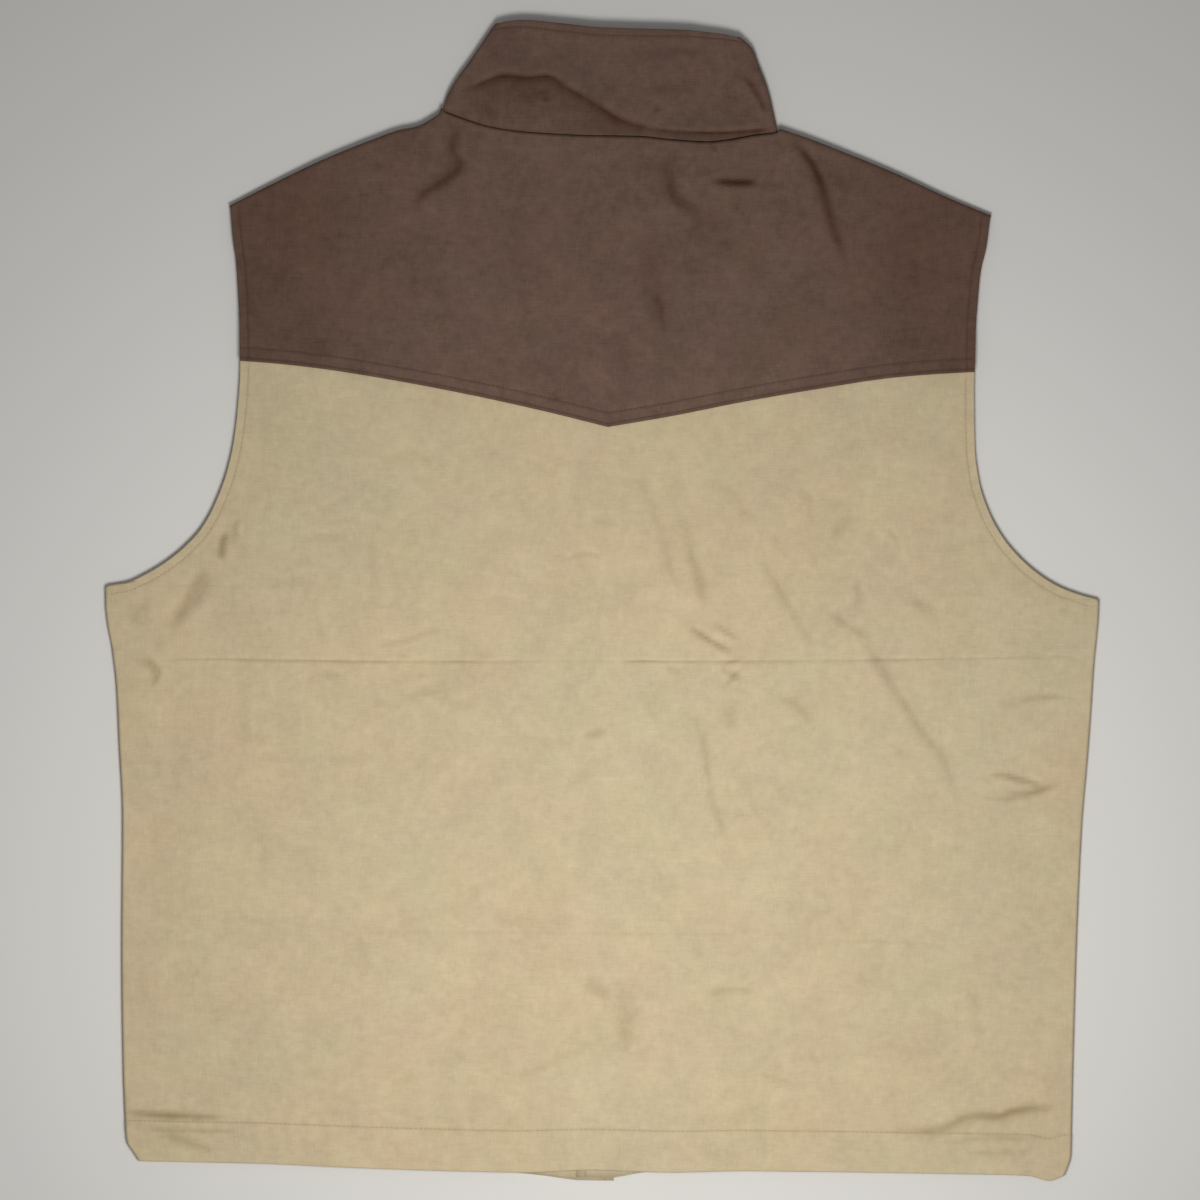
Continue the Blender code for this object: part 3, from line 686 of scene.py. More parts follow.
def rolled(height, side, share, turn, outer):
    """(x, drop) of a column at this height: the cloth rolls over at the side seam below the armpit."""
    flat = outer - CLOTH / 2 - SIDE_ROUND
    roll = 1 - ease((height - ARMPIT + ROLL_ENDS_BELOW) / ROLL_ENDS_OVER)
    angle = np.radians(np.minimum(turn, 90))
    spread = (CLOTH / 2 + SIDE_ROUND) * turn / LAST_TURN
    x = share * flat + mix(spread, SIDE_ROUND * np.sin(angle), roll)
    tail = SIDE_TAIL * np.maximum(turn - 90, 0) / (LAST_TURN - 90)
    return side * x, roll * (SIDE_ROUND * (1 - np.cos(angle)) + tail)


def half_shares(neck_cells, shoulder_cells):
    return np.concatenate(
        [np.linspace(0, NECK_SHARE, neck_cells + 1), np.linspace(NECK_SHARE, 1, shoulder_cells + 1)[1:]]
    )


def back_columns(neck_cells, shoulder_cells):
    """(side, share, turn) arrays from left to right; turn is the angle round the fold at the side."""
    shares = half_shares(neck_cells, shoulder_cells)
    share = np.concatenate([shares, np.ones(len(TURNS))])
    turn = np.concatenate([np.zeros(len(shares)), TURNS])
    side = np.concatenate([-np.ones(len(share) - 1), np.ones(len(share))])
    return side, np.concatenate([share[:0:-1], share]), np.concatenate([turn[:0:-1], turn])


# %% [markdown]
# The back lies on whatever is under it: the lapped fronts and the snaps along the middle, and
# nothing at the sides, where it comes down. In between it is a little full, as worn cloth is. One
# function gives this height for the back and for the yoke, so the two never cut through each
# other.

# %% How high the back lies
BODY_FULLNESS = 4.6 * MM
NECK_FULLNESS = 3.25 * MM
NECK_FULL_FROM = 185 * MM
NECK_FULL_OVER = 38 * MM
LEAST_AIR = 0.15 * MM
SOFT_CONTACT = 0.25 * MM


def front_lift(x, side, thickness):
    """How far a front, or the collar's front end, is lifted by what lies under it at the centre."""
    if side < 0:
        return LEFT_LIFT * (1 - ease((-x - LAP_EDGE) / LAP_RAMP))
    return (LEFT_LIFT + thickness + SEAM_GAP) * (1 - ease((x - LAP_EDGE) / LAP_RAMP))


def back_level(x, y, share, creases):
    """The middle of the back's cloth: it lies full over the fronts and comes down at its edges."""
    full = mix(BODY_FULLNESS, NECK_FULLNESS, ease((y - NECK_FULL_FROM) / NECK_FULL_OVER))
    full = SIDE_FULLNESS + full * (1 - share * share)
    full = full + (creased(x, y, creases)[0] + swells(x, y)) * (1 - share**14)
    lowest = np.maximum(front_lift(np.abs(x), 1, CLOTH), LEAST_AIR)
    over = full - lowest
    rounded = SOFT_CONTACT * np.log1p(np.exp(np.minimum(over / SOFT_CONTACT, 30)))
    return BACK_LEVEL + lowest + np.where(over > 4 * SOFT_CONTACT, over, rounded)


# %% [markdown]
# The yoke is sewn on top of the back, with a pointed lower edge. The back's rows of points bend to
# run along that edge, and further down along the two packing creases, because a crease between two
# rows looks like a staircase. The hem is turned up, which makes it a little thicker, and its stitches
# draw the cloth into small gathers.

# %% The yoke's lower edge
# From its point at the centre (share 0) to the armholes (share 1)
YokeEdge = namedtuple("YokeEdge", "share left right")
YOKE_SIDE_HEIGHT = 0.1502
YOKE_LAP = 12 * MM
YOKE_POINT_ACROSS = 0.0016
YOKE_EDGE = [
    YokeEdge(0.00, 0.1113, 0.1113),
    YokeEdge(0.17, 0.1206, 0.1186),
    YokeEdge(0.37, 0.1303, 0.1285),
    YokeEdge(0.58, 0.1391, 0.1377),
    YokeEdge(0.78, 0.1460, 0.1454),
    YokeEdge(0.92, 0.1493, 0.1486),
    YokeEdge(1.00, 0.1505, 0.1499),
]


def yoke_edge_height(side, share):
    return np.where(side < 0, along(YOKE_EDGE, share, "left"), along(YOKE_EDGE, share, "right"))


# %% The back's hem and the two packing creases
Seam = namedtuple("Seam", "across height")

BACK_HEM = [
    Seam(-0.3000, -0.3628),
    Seam(-0.2200, -0.3630),
    Seam(-0.1500, -0.3648),
    Seam(-0.0500, -0.3660),
    Seam(0.0000, -0.3638),
    Seam(0.0450, -0.3646),
    Seam(0.1000, -0.3630),
    Seam(0.2590, -0.3636),
    Seam(0.2780, -0.3642),
    Seam(0.2905, -0.3672),
    Seam(0.3000, -0.3640),
]
BACK_HEM_REACH = 80 * MM
HEM_SWELL = 0.5 * MM

# The creases' mean heights, and where the bending of the rows starts and ends, in metres
Packed = namedtuple("Packed", "height low low_over high high_over line")
PACKED = [
    Packed(-0.036, -0.085, 0.04, 0.005, 0.03, [
        (-244, -40), (-129, -40), (-27, -38), (76, -37), (191, -34), (300, -31)
    ]),
    Packed(-0.212, -0.260, 0.035, -0.165, 0.035, [
        (-167, -214), (-76, -212), (1, -212), (78, -211), (153, -214), (207, -216)
    ]),
]


def hem_line_swell(height, low):
    """The turned-up hem is a little thicker than the cloth above it."""
    return HEM_SWELL * ease((low + HEM_DEPTH + MM - height) / (2.0 * MM))


def seam_puckers(place, away, size, reach_out, seed):
    """Small gathers across a line of stitches, strongest beside it."""
    place = place + 2 * MM * rough(place, away * 0, 31 * MM, seed)
    wave = np.sin(2 * np.pi * place / (11 * MM)) * (0.6 + 0.4 * rough(place, away * 0, 23 * MM, seed + 1))
    return size * wave * bump(away / reach_out)


# %% [markdown]
# These are the back's creases, in millimetres from the middle. They run as in the photo: the
# packing creases right across, a long slanting one from the right shoulder blade, a star of small
# ones where they meet, and the gathers at the armholes, the sides and the hem's corners.

# %% Creases of the back
BODY_CREASES = [
    # The two packing creases right across, stronger in some stretches than in others
    Crease("packing", 0.55, 1.1, 0.19, [
        (-290, -41.4), (-268, -40.6), (-244, -40), (-200, -40.2), (-129, -40), (-75, -39)
    ]),
    Crease("packing", 0.36, 1.0, 0.05, [(-110, -39.8), (-70, -39.2), (-27, -38), (22, -37.6), (40, -37.3)]),
    Crease("packing", 0.65, 1.2, 0.14, [(8, -37.8), (76, -37), (140, -35.6), (215, -33.6)]),
    Crease("packing", 0.42, 1.0, 0.07, [(200, -33.9), (250, -32.4), (300, -31)]),
    Crease("packing", 0.45, 1.0, 0.07, [(-290, -46), (-270, -46), (-245, -45.5)]),
    Crease("packing", 0.42, 1.1, 0.06, [(-272, -206), (-225, -206), (-188, -208)]),
    Crease("packing", 0.42, 1.1, 0.06, [(-167, -214), (-76, -212), (1, -212), (98, -211)]),
    Crease("packing", 0.48, 1.1, 0.08, [(150, -214), (185, -215), (222, -216)]),
    # The long diagonal from the right shoulder blade, and the short crease that starts it
    Crease("drop", 2.2, 3.4, 0.13, [
        (161.5, -16.9), (175.9, -36.5), (184.4, -51.1), (195.5, -67), (204, -80.9), (215.1, -93.6),
        (223.7, -111.4), (230.3, -127.9)
    ]),
    Crease("drop", 1.22, 3.0, 0.12, [(142.8, -3.7), (151.9, -11.3), (162.8, -17.5), (173.8, -24.4)]),
    # Creases that fall from the yoke towards the star in the middle
    Crease("drop", 1.49, 3.6, 0.09, [(22.5, 84.2), (30.6, 58.7), (37.2, 38.3), (45.3, 14.1), (53.8, -3)]),
    Crease("drop", 1.08, 3.2, 0.05, [(54.6, 33.5), (59.2, 22), (63.3, 8), (62.2, -6.1)]),
    Crease("drop", 1.49, 3.2, 0.09, [(98.8, 32.8), (108, 15), (117.8, -0.9), (126.3, -14.8), (137.4, -30.7)]),
    Crease("drop", 0.68, 3.0, 0.05, [(162.3, 20.2), (164.5, -2.1)]),
    Crease("trough", 0.75, 4.0, 0.04, [(143.2, 11), (152.7, 22), (161.5, 31.1)]),
    Crease("trough", 0.75, 4.0, 0.06, [(146, 43.1), (154.7, 60.5)]),
    Crease("trough", 1.35, 4.5, 0.06, [(193.2, 9.8), (207.4, 1.7), (220.3, -7.1)]),
    Crease("trough", 0.9, 4.0, 0.04, [(73.7, 84.9), (88.1, 64.7), (92.1, 48.1)]),
    # The star of small creases at the packing crease
    Crease("valley", 2.4, 2.2, 0.35, [
        (54.6, -11.3), (59.8, -17), (66.9, -21.4), (75.3, -26.4), (86.9, -31.4)
    ]),
    Crease("ridge", 1.3, 1.8, 0.17, [(69.9, -12.4), (77.7, -20), (89.3, -24.9)]),
    Crease("ridge", 1.3, 2.0, 0.14, [(76.8, -41.8), (84.4, -39.1), (93.3, -33.8)]),
    Crease("valley", 0.69, 2.0, 0.07, [(39.6, -39.7), (47.4, -46), (56.4, -48.4)]),
    Crease("valley", 0.92, 2.0, 0.09, [(80.7, -51.9), (88.5, -54.4), (96.2, -57.5)]),
    Crease("trough", 1.35, 4.0, 0.12, [(81.4, -54.5), (82.9, -69.8), (82.5, -85.2)]),
    Crease("drop", 1.08, 2.6, 0.12, [(111.6, -61.7), (121.9, -63.5), (130.3, -71.1), (137.5, -81.9)]),
    Crease("trough", 1.35, 4.6, 0.08, [(30.7, -45), (32.9, -62.8), (34.4, -80.7)]),
    Crease("drop", 1.5, 2.8, 0.14, [
        (42.6, -71.7), (54.2, -72.8), (61.3, -77.8), (65.3, -90.6), (68.1, -107.2), (71.5, -126.3),
        (78.2, -145.4), (82.4, -167.1)
    ]),
    Crease("drop", 0.81, 3.0, 0.05, [(107.1, -107.9), (113.7, -118), (120.9, -128.8)]),
    Crease("drop", 0.81, 2.6, 0.07, [(181.7, -87.7), (190.1, -93.9), (199.2, -100.2)]),
    # The gathers at the right side
    Crease("valley", 1.4, 2.4, 0.14, [(239.6, -109.2), (255.6, -106.5), (268.4, -108.8), (289, -115.6)]),
    Crease("valley", 2.2, 2.6, 0.24, [(245.6, -120.7), (259, -121.8), (273.7, -119), (292.8, -111.7)]),
    Crease("trough", 0.9, 3.6, 0.06, [(252.4, -63), (267.7, -59.6), (284.4, -58.1)]),
    Crease("trough", 0.9, 4.6, 0.06, [(250.6, -203.8), (260.7, -194.1), (268.9, -187.6), (290.1, -191.1)]),
    Crease("trough", 1.05, 5.0, 0.06, [(229.8, -226.5), (215.2, -240.8), (200, -252.5)]),
    Crease("drop", 0.81, 3.6, 0.05, [(239.5, -239.2), (241.8, -262.8), (247.2, -282.6)]),
    # Below the second packing crease
    Crease("valley", 1.6, 2.4, 0.19, [
        (66.9, -252.5), (74.5, -248.5), (83.5, -245.8), (95, -246.3), (105.3, -249.4)
    ]),
    Crease("trough", 1.35, 3.6, 0.14, [(-10.1, -238.8), (0.3, -248.3), (13.1, -252.6)]),
    Crease("trough", 1.5, 5.0, 0.14, [(16.1, -237.2), (17.7, -255.1), (17.9, -274.3), (17, -297.3)]),
    Crease("drop", 1.08, 3.6, 0.09, [
        (-56.5, -307.3), (-36.1, -299.4), (-17.7, -289.5), (-4.3, -284.2), (7.7, -278.9)
    ]),
    Crease("valley", 1.4, 2.4, 0.17, [(101.5, -298.7), (117.5, -303), (132.3, -308.5)]),
    Crease("trough", 1.05, 4.6, 0.06, [(151.9, -246.2), (137.4, -256), (126, -269.6)]),
    Crease("trough", 0.9, 4.4, 0.06, [(160.8, -242.2), (175.5, -235.6), (189.5, -228.4)]),
    Crease("trough", 0.75, 4.4, 0.04, [(-66.1, -260.1), (-81.3, -272.5), (-97.7, -288.7)]),
    Crease("trough", 0.9, 3.6, 0.06, [(-137, -316.1), (-124.3, -308.3), (-110.2, -313.2)]),
    Crease("ridge", 0.88, 2.4, 0.07, [(73.8, -331.7), (87.8, -329), (112, -322.2)]),
    Crease("trough", 0.75, 5.0, 0.04, [(-225.3, -318.6), (-202.4, -307.4), (-170.5, -305.1), (-144.9, -306)]),
    Crease("trough", 0.75, 4.0, 0.04, [(-25, -178.9), (-27.3, -196.8), (-30.3, -214.8)]),
    Crease("trough", 0.75, 4.0, 0.04, [(76.1, -180.7), (79.1, -209.4)]),
    Crease("trough", 0.75, 4.2, 0.04, [(36.9, -261.2), (50.6, -276.4), (66.1, -287.7)]),
    # The left armhole and side
    Crease("ridge", 2.8, 2.4, 0.55, [(-242.2, 21), (-241.7, 32.5), (-240.6, 42.1)]),
    Crease("ridge", 1.5, 1.8, 0.24, [(-234.7, 29.4), (-234.8, 39.7), (-234.3, 49.9)]),
    Crease("ridge", 0.55, 1.6, 0.08, [(-235.5, -4.5), (-234.4, 7)]),
    Crease("trough", 1.95, 4.6, 0.17, [
        (-254.4, 22.7), (-258.1, 9.9), (-264.3, -3), (-272.5, -14.6), (-280, -23.7)
    ]),
    Crease("valley", 1.49, 2.0, 0.19, [(-298.4, -38.7), (-291.9, -44.3), (-286.7, -48.1), (-288.5, -58.4)]),
    Crease("valley", 0.92, 2.0, 0.08, [
        (-148.7, -30.2), (-135.9, -27.4), (-122.5, -24.7), (-108.5, -18.7), (-94.5, -18.5)
    ]),
    Crease("trough", 1.05, 3.2, 0.12, [(-135.4, -67.1), (-122, -61.2), (-108, -57.1), (-88.8, -59.4)]),
    Crease("trough", 0.75, 3.0, 0.06, [(-107.9, -62.9), (-93.8, -65.9), (-84.2, -64.5)]),
    Crease("trough", 0.9, 3.4, 0.06, [(-179.8, -98.5), (-164.3, -102.7), (-148.5, -92.9)]),
    Crease("packing", 0.16, 1.4, 0.02, [(-288.4, -107), (-262.8, -106.7), (-242.4, -107.7)]),
    Crease("trough", 0.6, 3.6, 0.04, [(-230.9, -104.9), (-198.9, -99.4), (-181, -99.1)]),
    Crease("trough", 0.6, 4.0, 0.04, [(-238.3, 12.7), (-206.9, 11.9), (-180, 10.3), (-160.7, 3.6)]),
    Crease("trough", 0.9, 4.0, 0.06, [(-158.6, -10.5), (-149.1, -1.4), (-148.8, 24.2), (-152.5, 54.9)]),
    Crease("trough", 0.75, 3.4, 0.06, [(-150.3, 86.9), (-124.2, 93.7), (-110.1, 92), (-100, 105.6)]),
    # Small ones in the middle
    Crease("trough", 0.9, 3.0, 0.12, [(-13.5, -86.5), (-5.9, -83.9), (4.4, -81.8)]),
    Crease("trough", 0.75, 3.2, 0.06, [(-25.9, -114.2), (-20.7, -118.6), (-7.5, -103.7), (11.5, -90.7)]),
    Crease("trough", 0.6, 3.6, 0.04, [(-94.8, -83.2), (-75.6, -86.1), (-25.6, -89.9), (-10.3, -87.8)]),
    Crease("trough", 0.75, 3.0, 0.06, [(-7.5, -147.9), (-2.4, -151.7), (3.5, -156.1)]),
    Crease("trough", 0.75, 3.2, 0.06, [(-10.4, 55), (-0.1, 51.9), (7.6, 52.7)]),
    Crease("trough", 0.75, 4.0, 0.04, [(-79.6, 63.6), (-85.7, 44.3), (-82.9, 27.7)]),
    Crease("ridge", 1.3, 2.0, 0.24, [
        (-299.2, -342.1), (-285.1, -343.2), (-259.5, -344.1), (-235.2, -343.7), (-219.9, -341.6)
    ]),
    Crease("ridge", 1.2, 2.0, 0.19, [
        (214.1, -346.4), (233.3, -343.6), (252.5, -341.4), (271.7, -341.8), (289.6, -339.6)
    ]),
    Crease("valley", 0.8, 1.8, 0.08, [(-176.2, -353.8), (-172.5, -346.1), (-173.8, -338.4)]),
    Crease("valley", 0.8, 1.8, 0.08, [(-18.7, -358), (-21.4, -349.1), (-17.6, -340.1)]),
    Crease("valley", 0.8, 1.8, 0.08, [(105.5, -355), (107.9, -347.3), (104, -339.6)]),
    # Round the middle of the first packing crease
    Crease("drop", 1.2, 3.6, 0.15, [(50.4, 57.7), (55.3, 29.6), (62, 6.7), (66, -6.1)]),
    Crease("trough", 0.9, 4.0, 0.07, [(40.1, 110.1), (44.3, 84.5), (48.4, 61.5)]),
    Crease("ridge", 1.1, 1.8, 0.21, [(77, -56.5), (84.6, -50), (88.3, -42.2)]),
    Crease("ridge", 1.1, 1.8, 0.19, [(72.9, -41.8), (80.7, -46.8), (91, -53.7)]),
    Crease("ridge", 1.0, 1.8, 0.17, [(39.6, -42.3), (47.4, -46), (56.3, -43.3)]),
    Crease("trough", 0.9, 3.0, 0.08, [(162.3, 20.2), (163.8, 4.3), (162.1, -11.1)]),
    Crease("trough", 0.8, 3.6, 0.07, [(147.3, 42.4), (154.8, 51.5), (164.9, 61.9)]),
    # Beside the side seams
    Crease("drop", 1.2, 4.0, 0.11, [(-278.1, -26.2), (-270.6, -10.8), (-259.9, 6.7), (-252.5, 21.5)]),
    Crease("trough", 1.1, 4.0, 0.14, [(-289.9, 0.5), (-297.5, -9.9), (-305, -20.2)]),
    Crease("ridge", 1.5, 2.2, 0.3, [
        (-297.7, -41.9), (-290, -44.3), (-285.4, -49.4), (-287.9, -55.8), (-291.6, -61)
    ]),
    Crease("ridge", 1.6, 2.0, 0.31, [(254.5, -121.2), (275, -120.3), (289, -116.9), (297.9, -112.9)]),
    Crease("ridge", 1.2, 1.8, 0.21, [(246, -108.5), (262.1, -110.9), (278.1, -114.5), (292.9, -115.5)]),
    Crease("ridge", 1.0, 1.8, 0.19, [(265.2, -62.2), (281.8, -59.4), (298.5, -58.5)]),
    # Faint creases left by washing
    Crease("trough", 0.7, 3.0, 0.05, [(-227.1, 80.7), (-215.3, 66.8), (-218.9, 48.8)]),
    Crease("valley", 0.6, 1.8, 0.05, [(-194.4, 36.4), (-180.4, 41.1), (-162.5, 39.4)]),
    Crease("trough", 0.7, 3.4, 0.05, [(-54.5, 95.9), (-37.6, 83.4), (-33.5, 64.2)]),
    Crease("valley", 0.6, 1.8, 0.05, [(-27.9, 25.9), (-12.6, 31.2), (1.5, 28.9)]),
    Crease("trough", 0.7, 3.2, 0.05, [(125, 79.3), (132.9, 63.4), (129.3, 47.3)]),
    Crease("valley", 0.6, 1.8, 0.05, [(176.5, 54.4), (188.2, 41.7), (189.8, 25.1)]),
    Crease("trough", 0.7, 3.6, 0.05, [(-230.3, -143.3), (-216, -159.8), (-218.3, -181.6)]),
    Crease("valley", 0.6, 1.8, 0.05, [(-114.8, -167.3), (-94.4, -161.9), (-76.4, -165.5)]),
    Crease("trough", 0.7, 3.6, 0.05, [(-165.4, -212.8), (-151, -230.6), (-157.1, -251.1)]),
    Crease("valley", 0.6, 1.8, 0.05, [(-267.1, -259.1), (-250.4, -265.2), (-231.2, -261.1)]),
    Crease("trough", 0.7, 3.6, 0.05, [(154, -163.6), (168.2, -176.2), (173.7, -196.6)]),
    Crease("valley", 0.7, 1.8, 0.06, [(211.5, -156.4), (230.7, -153.5), (249.9, -159.7)]),
    Crease("trough", 0.7, 3.6, 0.05, [(-63.2, -192.2), (-49, -204.8), (-24.6, -208.3)]),
    Crease("valley", 0.6, 1.8, 0.05, [(35.6, -165.2), (44.1, -180.5), (41.8, -197.1)]),
    Crease("trough", 0.7, 3.6, 0.05, [(181.2, -278.4), (200.5, -288.4), (224.8, -285.5)]),
    Crease("valley", 0.6, 1.8, 0.05, [(-193.2, -53.2), (-176.6, -47.9), (-159.9, -51.5)]),
    Crease("trough", 0.8, 4.0, 0.05, [(-282.4, -80.1), (-271.9, -99.1), (-274.1, -124.7)]),
    Crease("trough", 0.8, 5.0, 0.05, [(-237.1, -28.2), (-231.4, -66.5), (-234.6, -111.4)]),
    # Above the hem
    Crease("ridge", 2.6, 2.4, 0.47, [
        (-305.8, -332.6), (-291.7, -334.3), (-280.8, -334.8), (-262.2, -335.8), (-244.3, -335.5),
        (-230.2, -334.7)
    ]),
    Crease("trough", 1.3, 2.4, 0.24, [(-285.1, -344.4), (-269.1, -348.1), (-253, -352.9), (-237.6, -357.9)]),
    Crease("ridge", 3.0, 3.2, 0.42, [
        (184.6, -338.5), (214, -338.1), (225.5, -336), (233.1, -331.4), (242.1, -328.8), (258.7, -328.5),
        (267.6, -325.2), (287.4, -323), (306, -324.7)
    ]),
    Crease("ridge", 0.9, 2.2, 0.14, [(230.2, -352.6), (252.6, -351), (271.8, -350.7), (284.5, -344.8)]),
]

# %% Surface of the back


def back_plan(columns, heights):
    """(x, y, drop) of the back, rows by columns. Rows bend to run along the packing creases."""
    side, share, turn = columns
    h = heights[:, None]
    x, drop = rolled(h, side, share, turn, reach(h, side))
    bend = ease((h - ARMPIT) / (YOKE_SIDE_HEIGHT - ARMPIT))
    y = h - bend * (YOKE_SIDE_HEIGHT - yoke_edge_height(side, share))
    x = x + bend * YOKE_POINT_ACROSS * (1 - share)
    hem = 1 - ease((h - HEM_EDGE) / BACK_HEM_REACH)
    y = y + hem * (along(BACK_HEM, x, "height") - HEM_EDGE)
    inside = 1 - share**8
    for packed in PACKED:
        line = np.array(packed.line) * MM
        shift = np.interp(x, line[:, 0], line[:, 1]) - packed.height
        begun = ease((h - packed.low) / packed.low_over) * ease((packed.high - h) / packed.high_over)
        y = y + shift * inside * begun
    return x, y, drop


def back_sheet(columns, heights):
    """The middle of the back's cloth, with the hem's swell and the gathers beside its stitches."""
    x, y, drop = back_plan(columns, heights)
    share = columns[1]
    h = heights[:, None]
    z = back_level(x, y, share, BODY_CREASES) - drop
    z = z + hem_line_swell(h, HEM_EDGE)
    from_stitches = h - HEM_EDGE - HEM_DEPTH
    z = z + seam_puckers(x, from_stitches, 0.28 * MM, 9 * MM, 11) * (1 - share**10)
    from_yoke = np.minimum(h - YOKE_SIDE_HEIGHT + 6 * MM, 0)
    z = z + seam_puckers(x, from_yoke, 0.10 * MM, 7 * MM, 13) * (1 - share**10)
    return np.stack([x, y, z], axis=-1)


# %% [markdown]
# Now the back itself. Its rows crowd together at the hem's edge, along the packing creases and at
# the armpit's corner. Its points carry their distance from the armhole and the hem, for the grooves,
# and the creases' shade.

# %% Back panel
BACK_NECK_CELLS, BACK_SHOULDER_CELLS, BACK_ROWS = 60, 78, 261
PAST_THE_GROOVE = 50 * MM
FAR = 1.0


def armhole_line(grid, rows):
    """Both armhole edges of a grid as lines of (x, y), left and right."""
    return grid[rows, 0, :2], grid[rows, -1, :2]


def armhole_distance(grid, lines):
    """How far each point is from the nearer armhole."""
    away = [from_line(grid[..., 0], grid[..., 1], line)[0] for line in lines]
    return np.minimum(*away)


columns = back_columns(BACK_NECK_CELLS, BACK_SHOULDER_CELLS)
crowded = [
    (HEM_EDGE, 0.9 * MM, 6),
    (HEM_EDGE + HEM_DEPTH, 2.0 * MM, 2.2),
    (PACKED[0].height, 2.6 * MM, 3.4),
    (PACKED[1].height, 3.0 * MM, 2.2),
    (ARMPIT + 3.5 * MM, 3.5 * MM, 3.4),
    (ARMPIT + 13 * MM, 8.0 * MM, 1.8),
]
heights = spaced(HEM_EDGE, YOKE_SIDE_HEIGHT + YOKE_LAP, BACK_ROWS, crowded)
back_grid = back_sheet(columns, heights)
back_armholes = armhole_line(back_grid, heights > ARMPIT)
armhole = armhole_distance(back_grid, back_armholes)
below = (heights < ARMPIT)[:, None]
armhole_mark = np.where(below, armhole + PAST_THE_GROOVE, armhole)
hem_mark = (heights - HEM_EDGE)[:, None] + 0 * armhole
edge = np.minimum(np.where(below, FAR, armhole), hem_mark)
dark = creased(back_grid[..., 0], back_grid[..., 1], BODY_CREASES)[1]
marks = {"armhole": armhole_mark, "hem": hem_mark, "dark": dark}
back = shell("back", back_grid, CLOTH, tan_canvas, rounded_to(edge), marks=marks)
back_area = area_of(back_grid)
print("back panel area:", round(back_area, 4))

# %% [markdown]
# A western yoke is a second piece of cloth over the shoulders. It laps on the back, turns over each
# shoulder and comes down in front to a seam that can't be seen from here. It could be three pieces
# joined, but the real one is cut in one, so it is one grid: the lap, the rows up to the neck and
# shoulders, the turn and the part underneath.

# %% Shoulders and the neck seam
Shoulder = namedtuple("Shoulder", "share left left_height right right_height")

SHOULDERS = [
    Shoulder(0.00, 0.1075, 0.3118, 0.1091, 0.3043),
    Shoulder(0.12, 0.1235, 0.3025, 0.1255, 0.2990),
    Shoulder(0.20, 0.1345, 0.3001, 0.1364, 0.2951),
    Shoulder(0.30, 0.1480, 0.2952, 0.1500, 0.2900),
    Shoulder(0.55, 0.1815, 0.2812, 0.1840, 0.2766),
    Shoulder(0.80, 0.2155, 0.2645, 0.2182, 0.2614),
    Shoulder(1.00, 0.2429, 0.2501, 0.2455, 0.2506),
]
FRONT_SEAM_AT_NECK = (0.0874, 0.2637)
FRONT_SEAM_AT_ARM = (0.2264, 0.2054)
LAST_SHOULDER_SHARE = 0.985

# The seam between yoke and collar
COLLAR_SEAM = [
    Seam(-0.1062, 0.3118),
    Seam(-0.0948, 0.3076),
    Seam(-0.0741, 0.3018),
    Seam(-0.0483, 0.2989),
    Seam(-0.0141, 0.2975),
    Seam(0.0202, 0.2973),
    Seam(0.0374, 0.2958),
    Seam(0.0631, 0.2944),
    Seam(0.0768, 0.2960),
    Seam(0.0922, 0.2990),
    Seam(0.1074, 0.3012),
]


def shoulder_plan(side, share):
    """Where the yoke starts to turn over the shoulder, its front seam, the way out and the turn's radius."""
    left = side < 0
    x = np.where(left, along(SHOULDERS, share, "left"), along(SHOULDERS, share, "right"))
    y = np.where(left, along(SHOULDERS, share, "left_height"), along(SHOULDERS, share, "right_height"))
    seam_x = mix(FRONT_SEAM_AT_NECK[0], FRONT_SEAM_AT_ARM[0], share)
    seam_y = mix(FRONT_SEAM_AT_NECK[1], FRONT_SEAM_AT_ARM[1], share)
    length = np.hypot(x - seam_x, y - seam_y)
    out_x, out_y = (x - seam_x) / length, (y - seam_y) / length
    across = mix(NECK_SHARE, 1, share)
    level = back_level(side * x, y, across, [])
    radius = (level - FRONT_LEVEL) / 2
    inset = radius + CLOTH / 2
    return side * (x - out_x * inset), y - out_y * inset, side * seam_x, seam_y, side * out_x, out_y, radius


def shoulder_share(share, turn):
    on_flat = LAST_SHOULDER_SHARE * (share - NECK_SHARE) / (1 - NECK_SHARE)
    return np.where(turn > 0, mix(LAST_SHOULDER_SHARE, 1.0, turn / LAST_TURN), np.maximum(on_flat, 0))


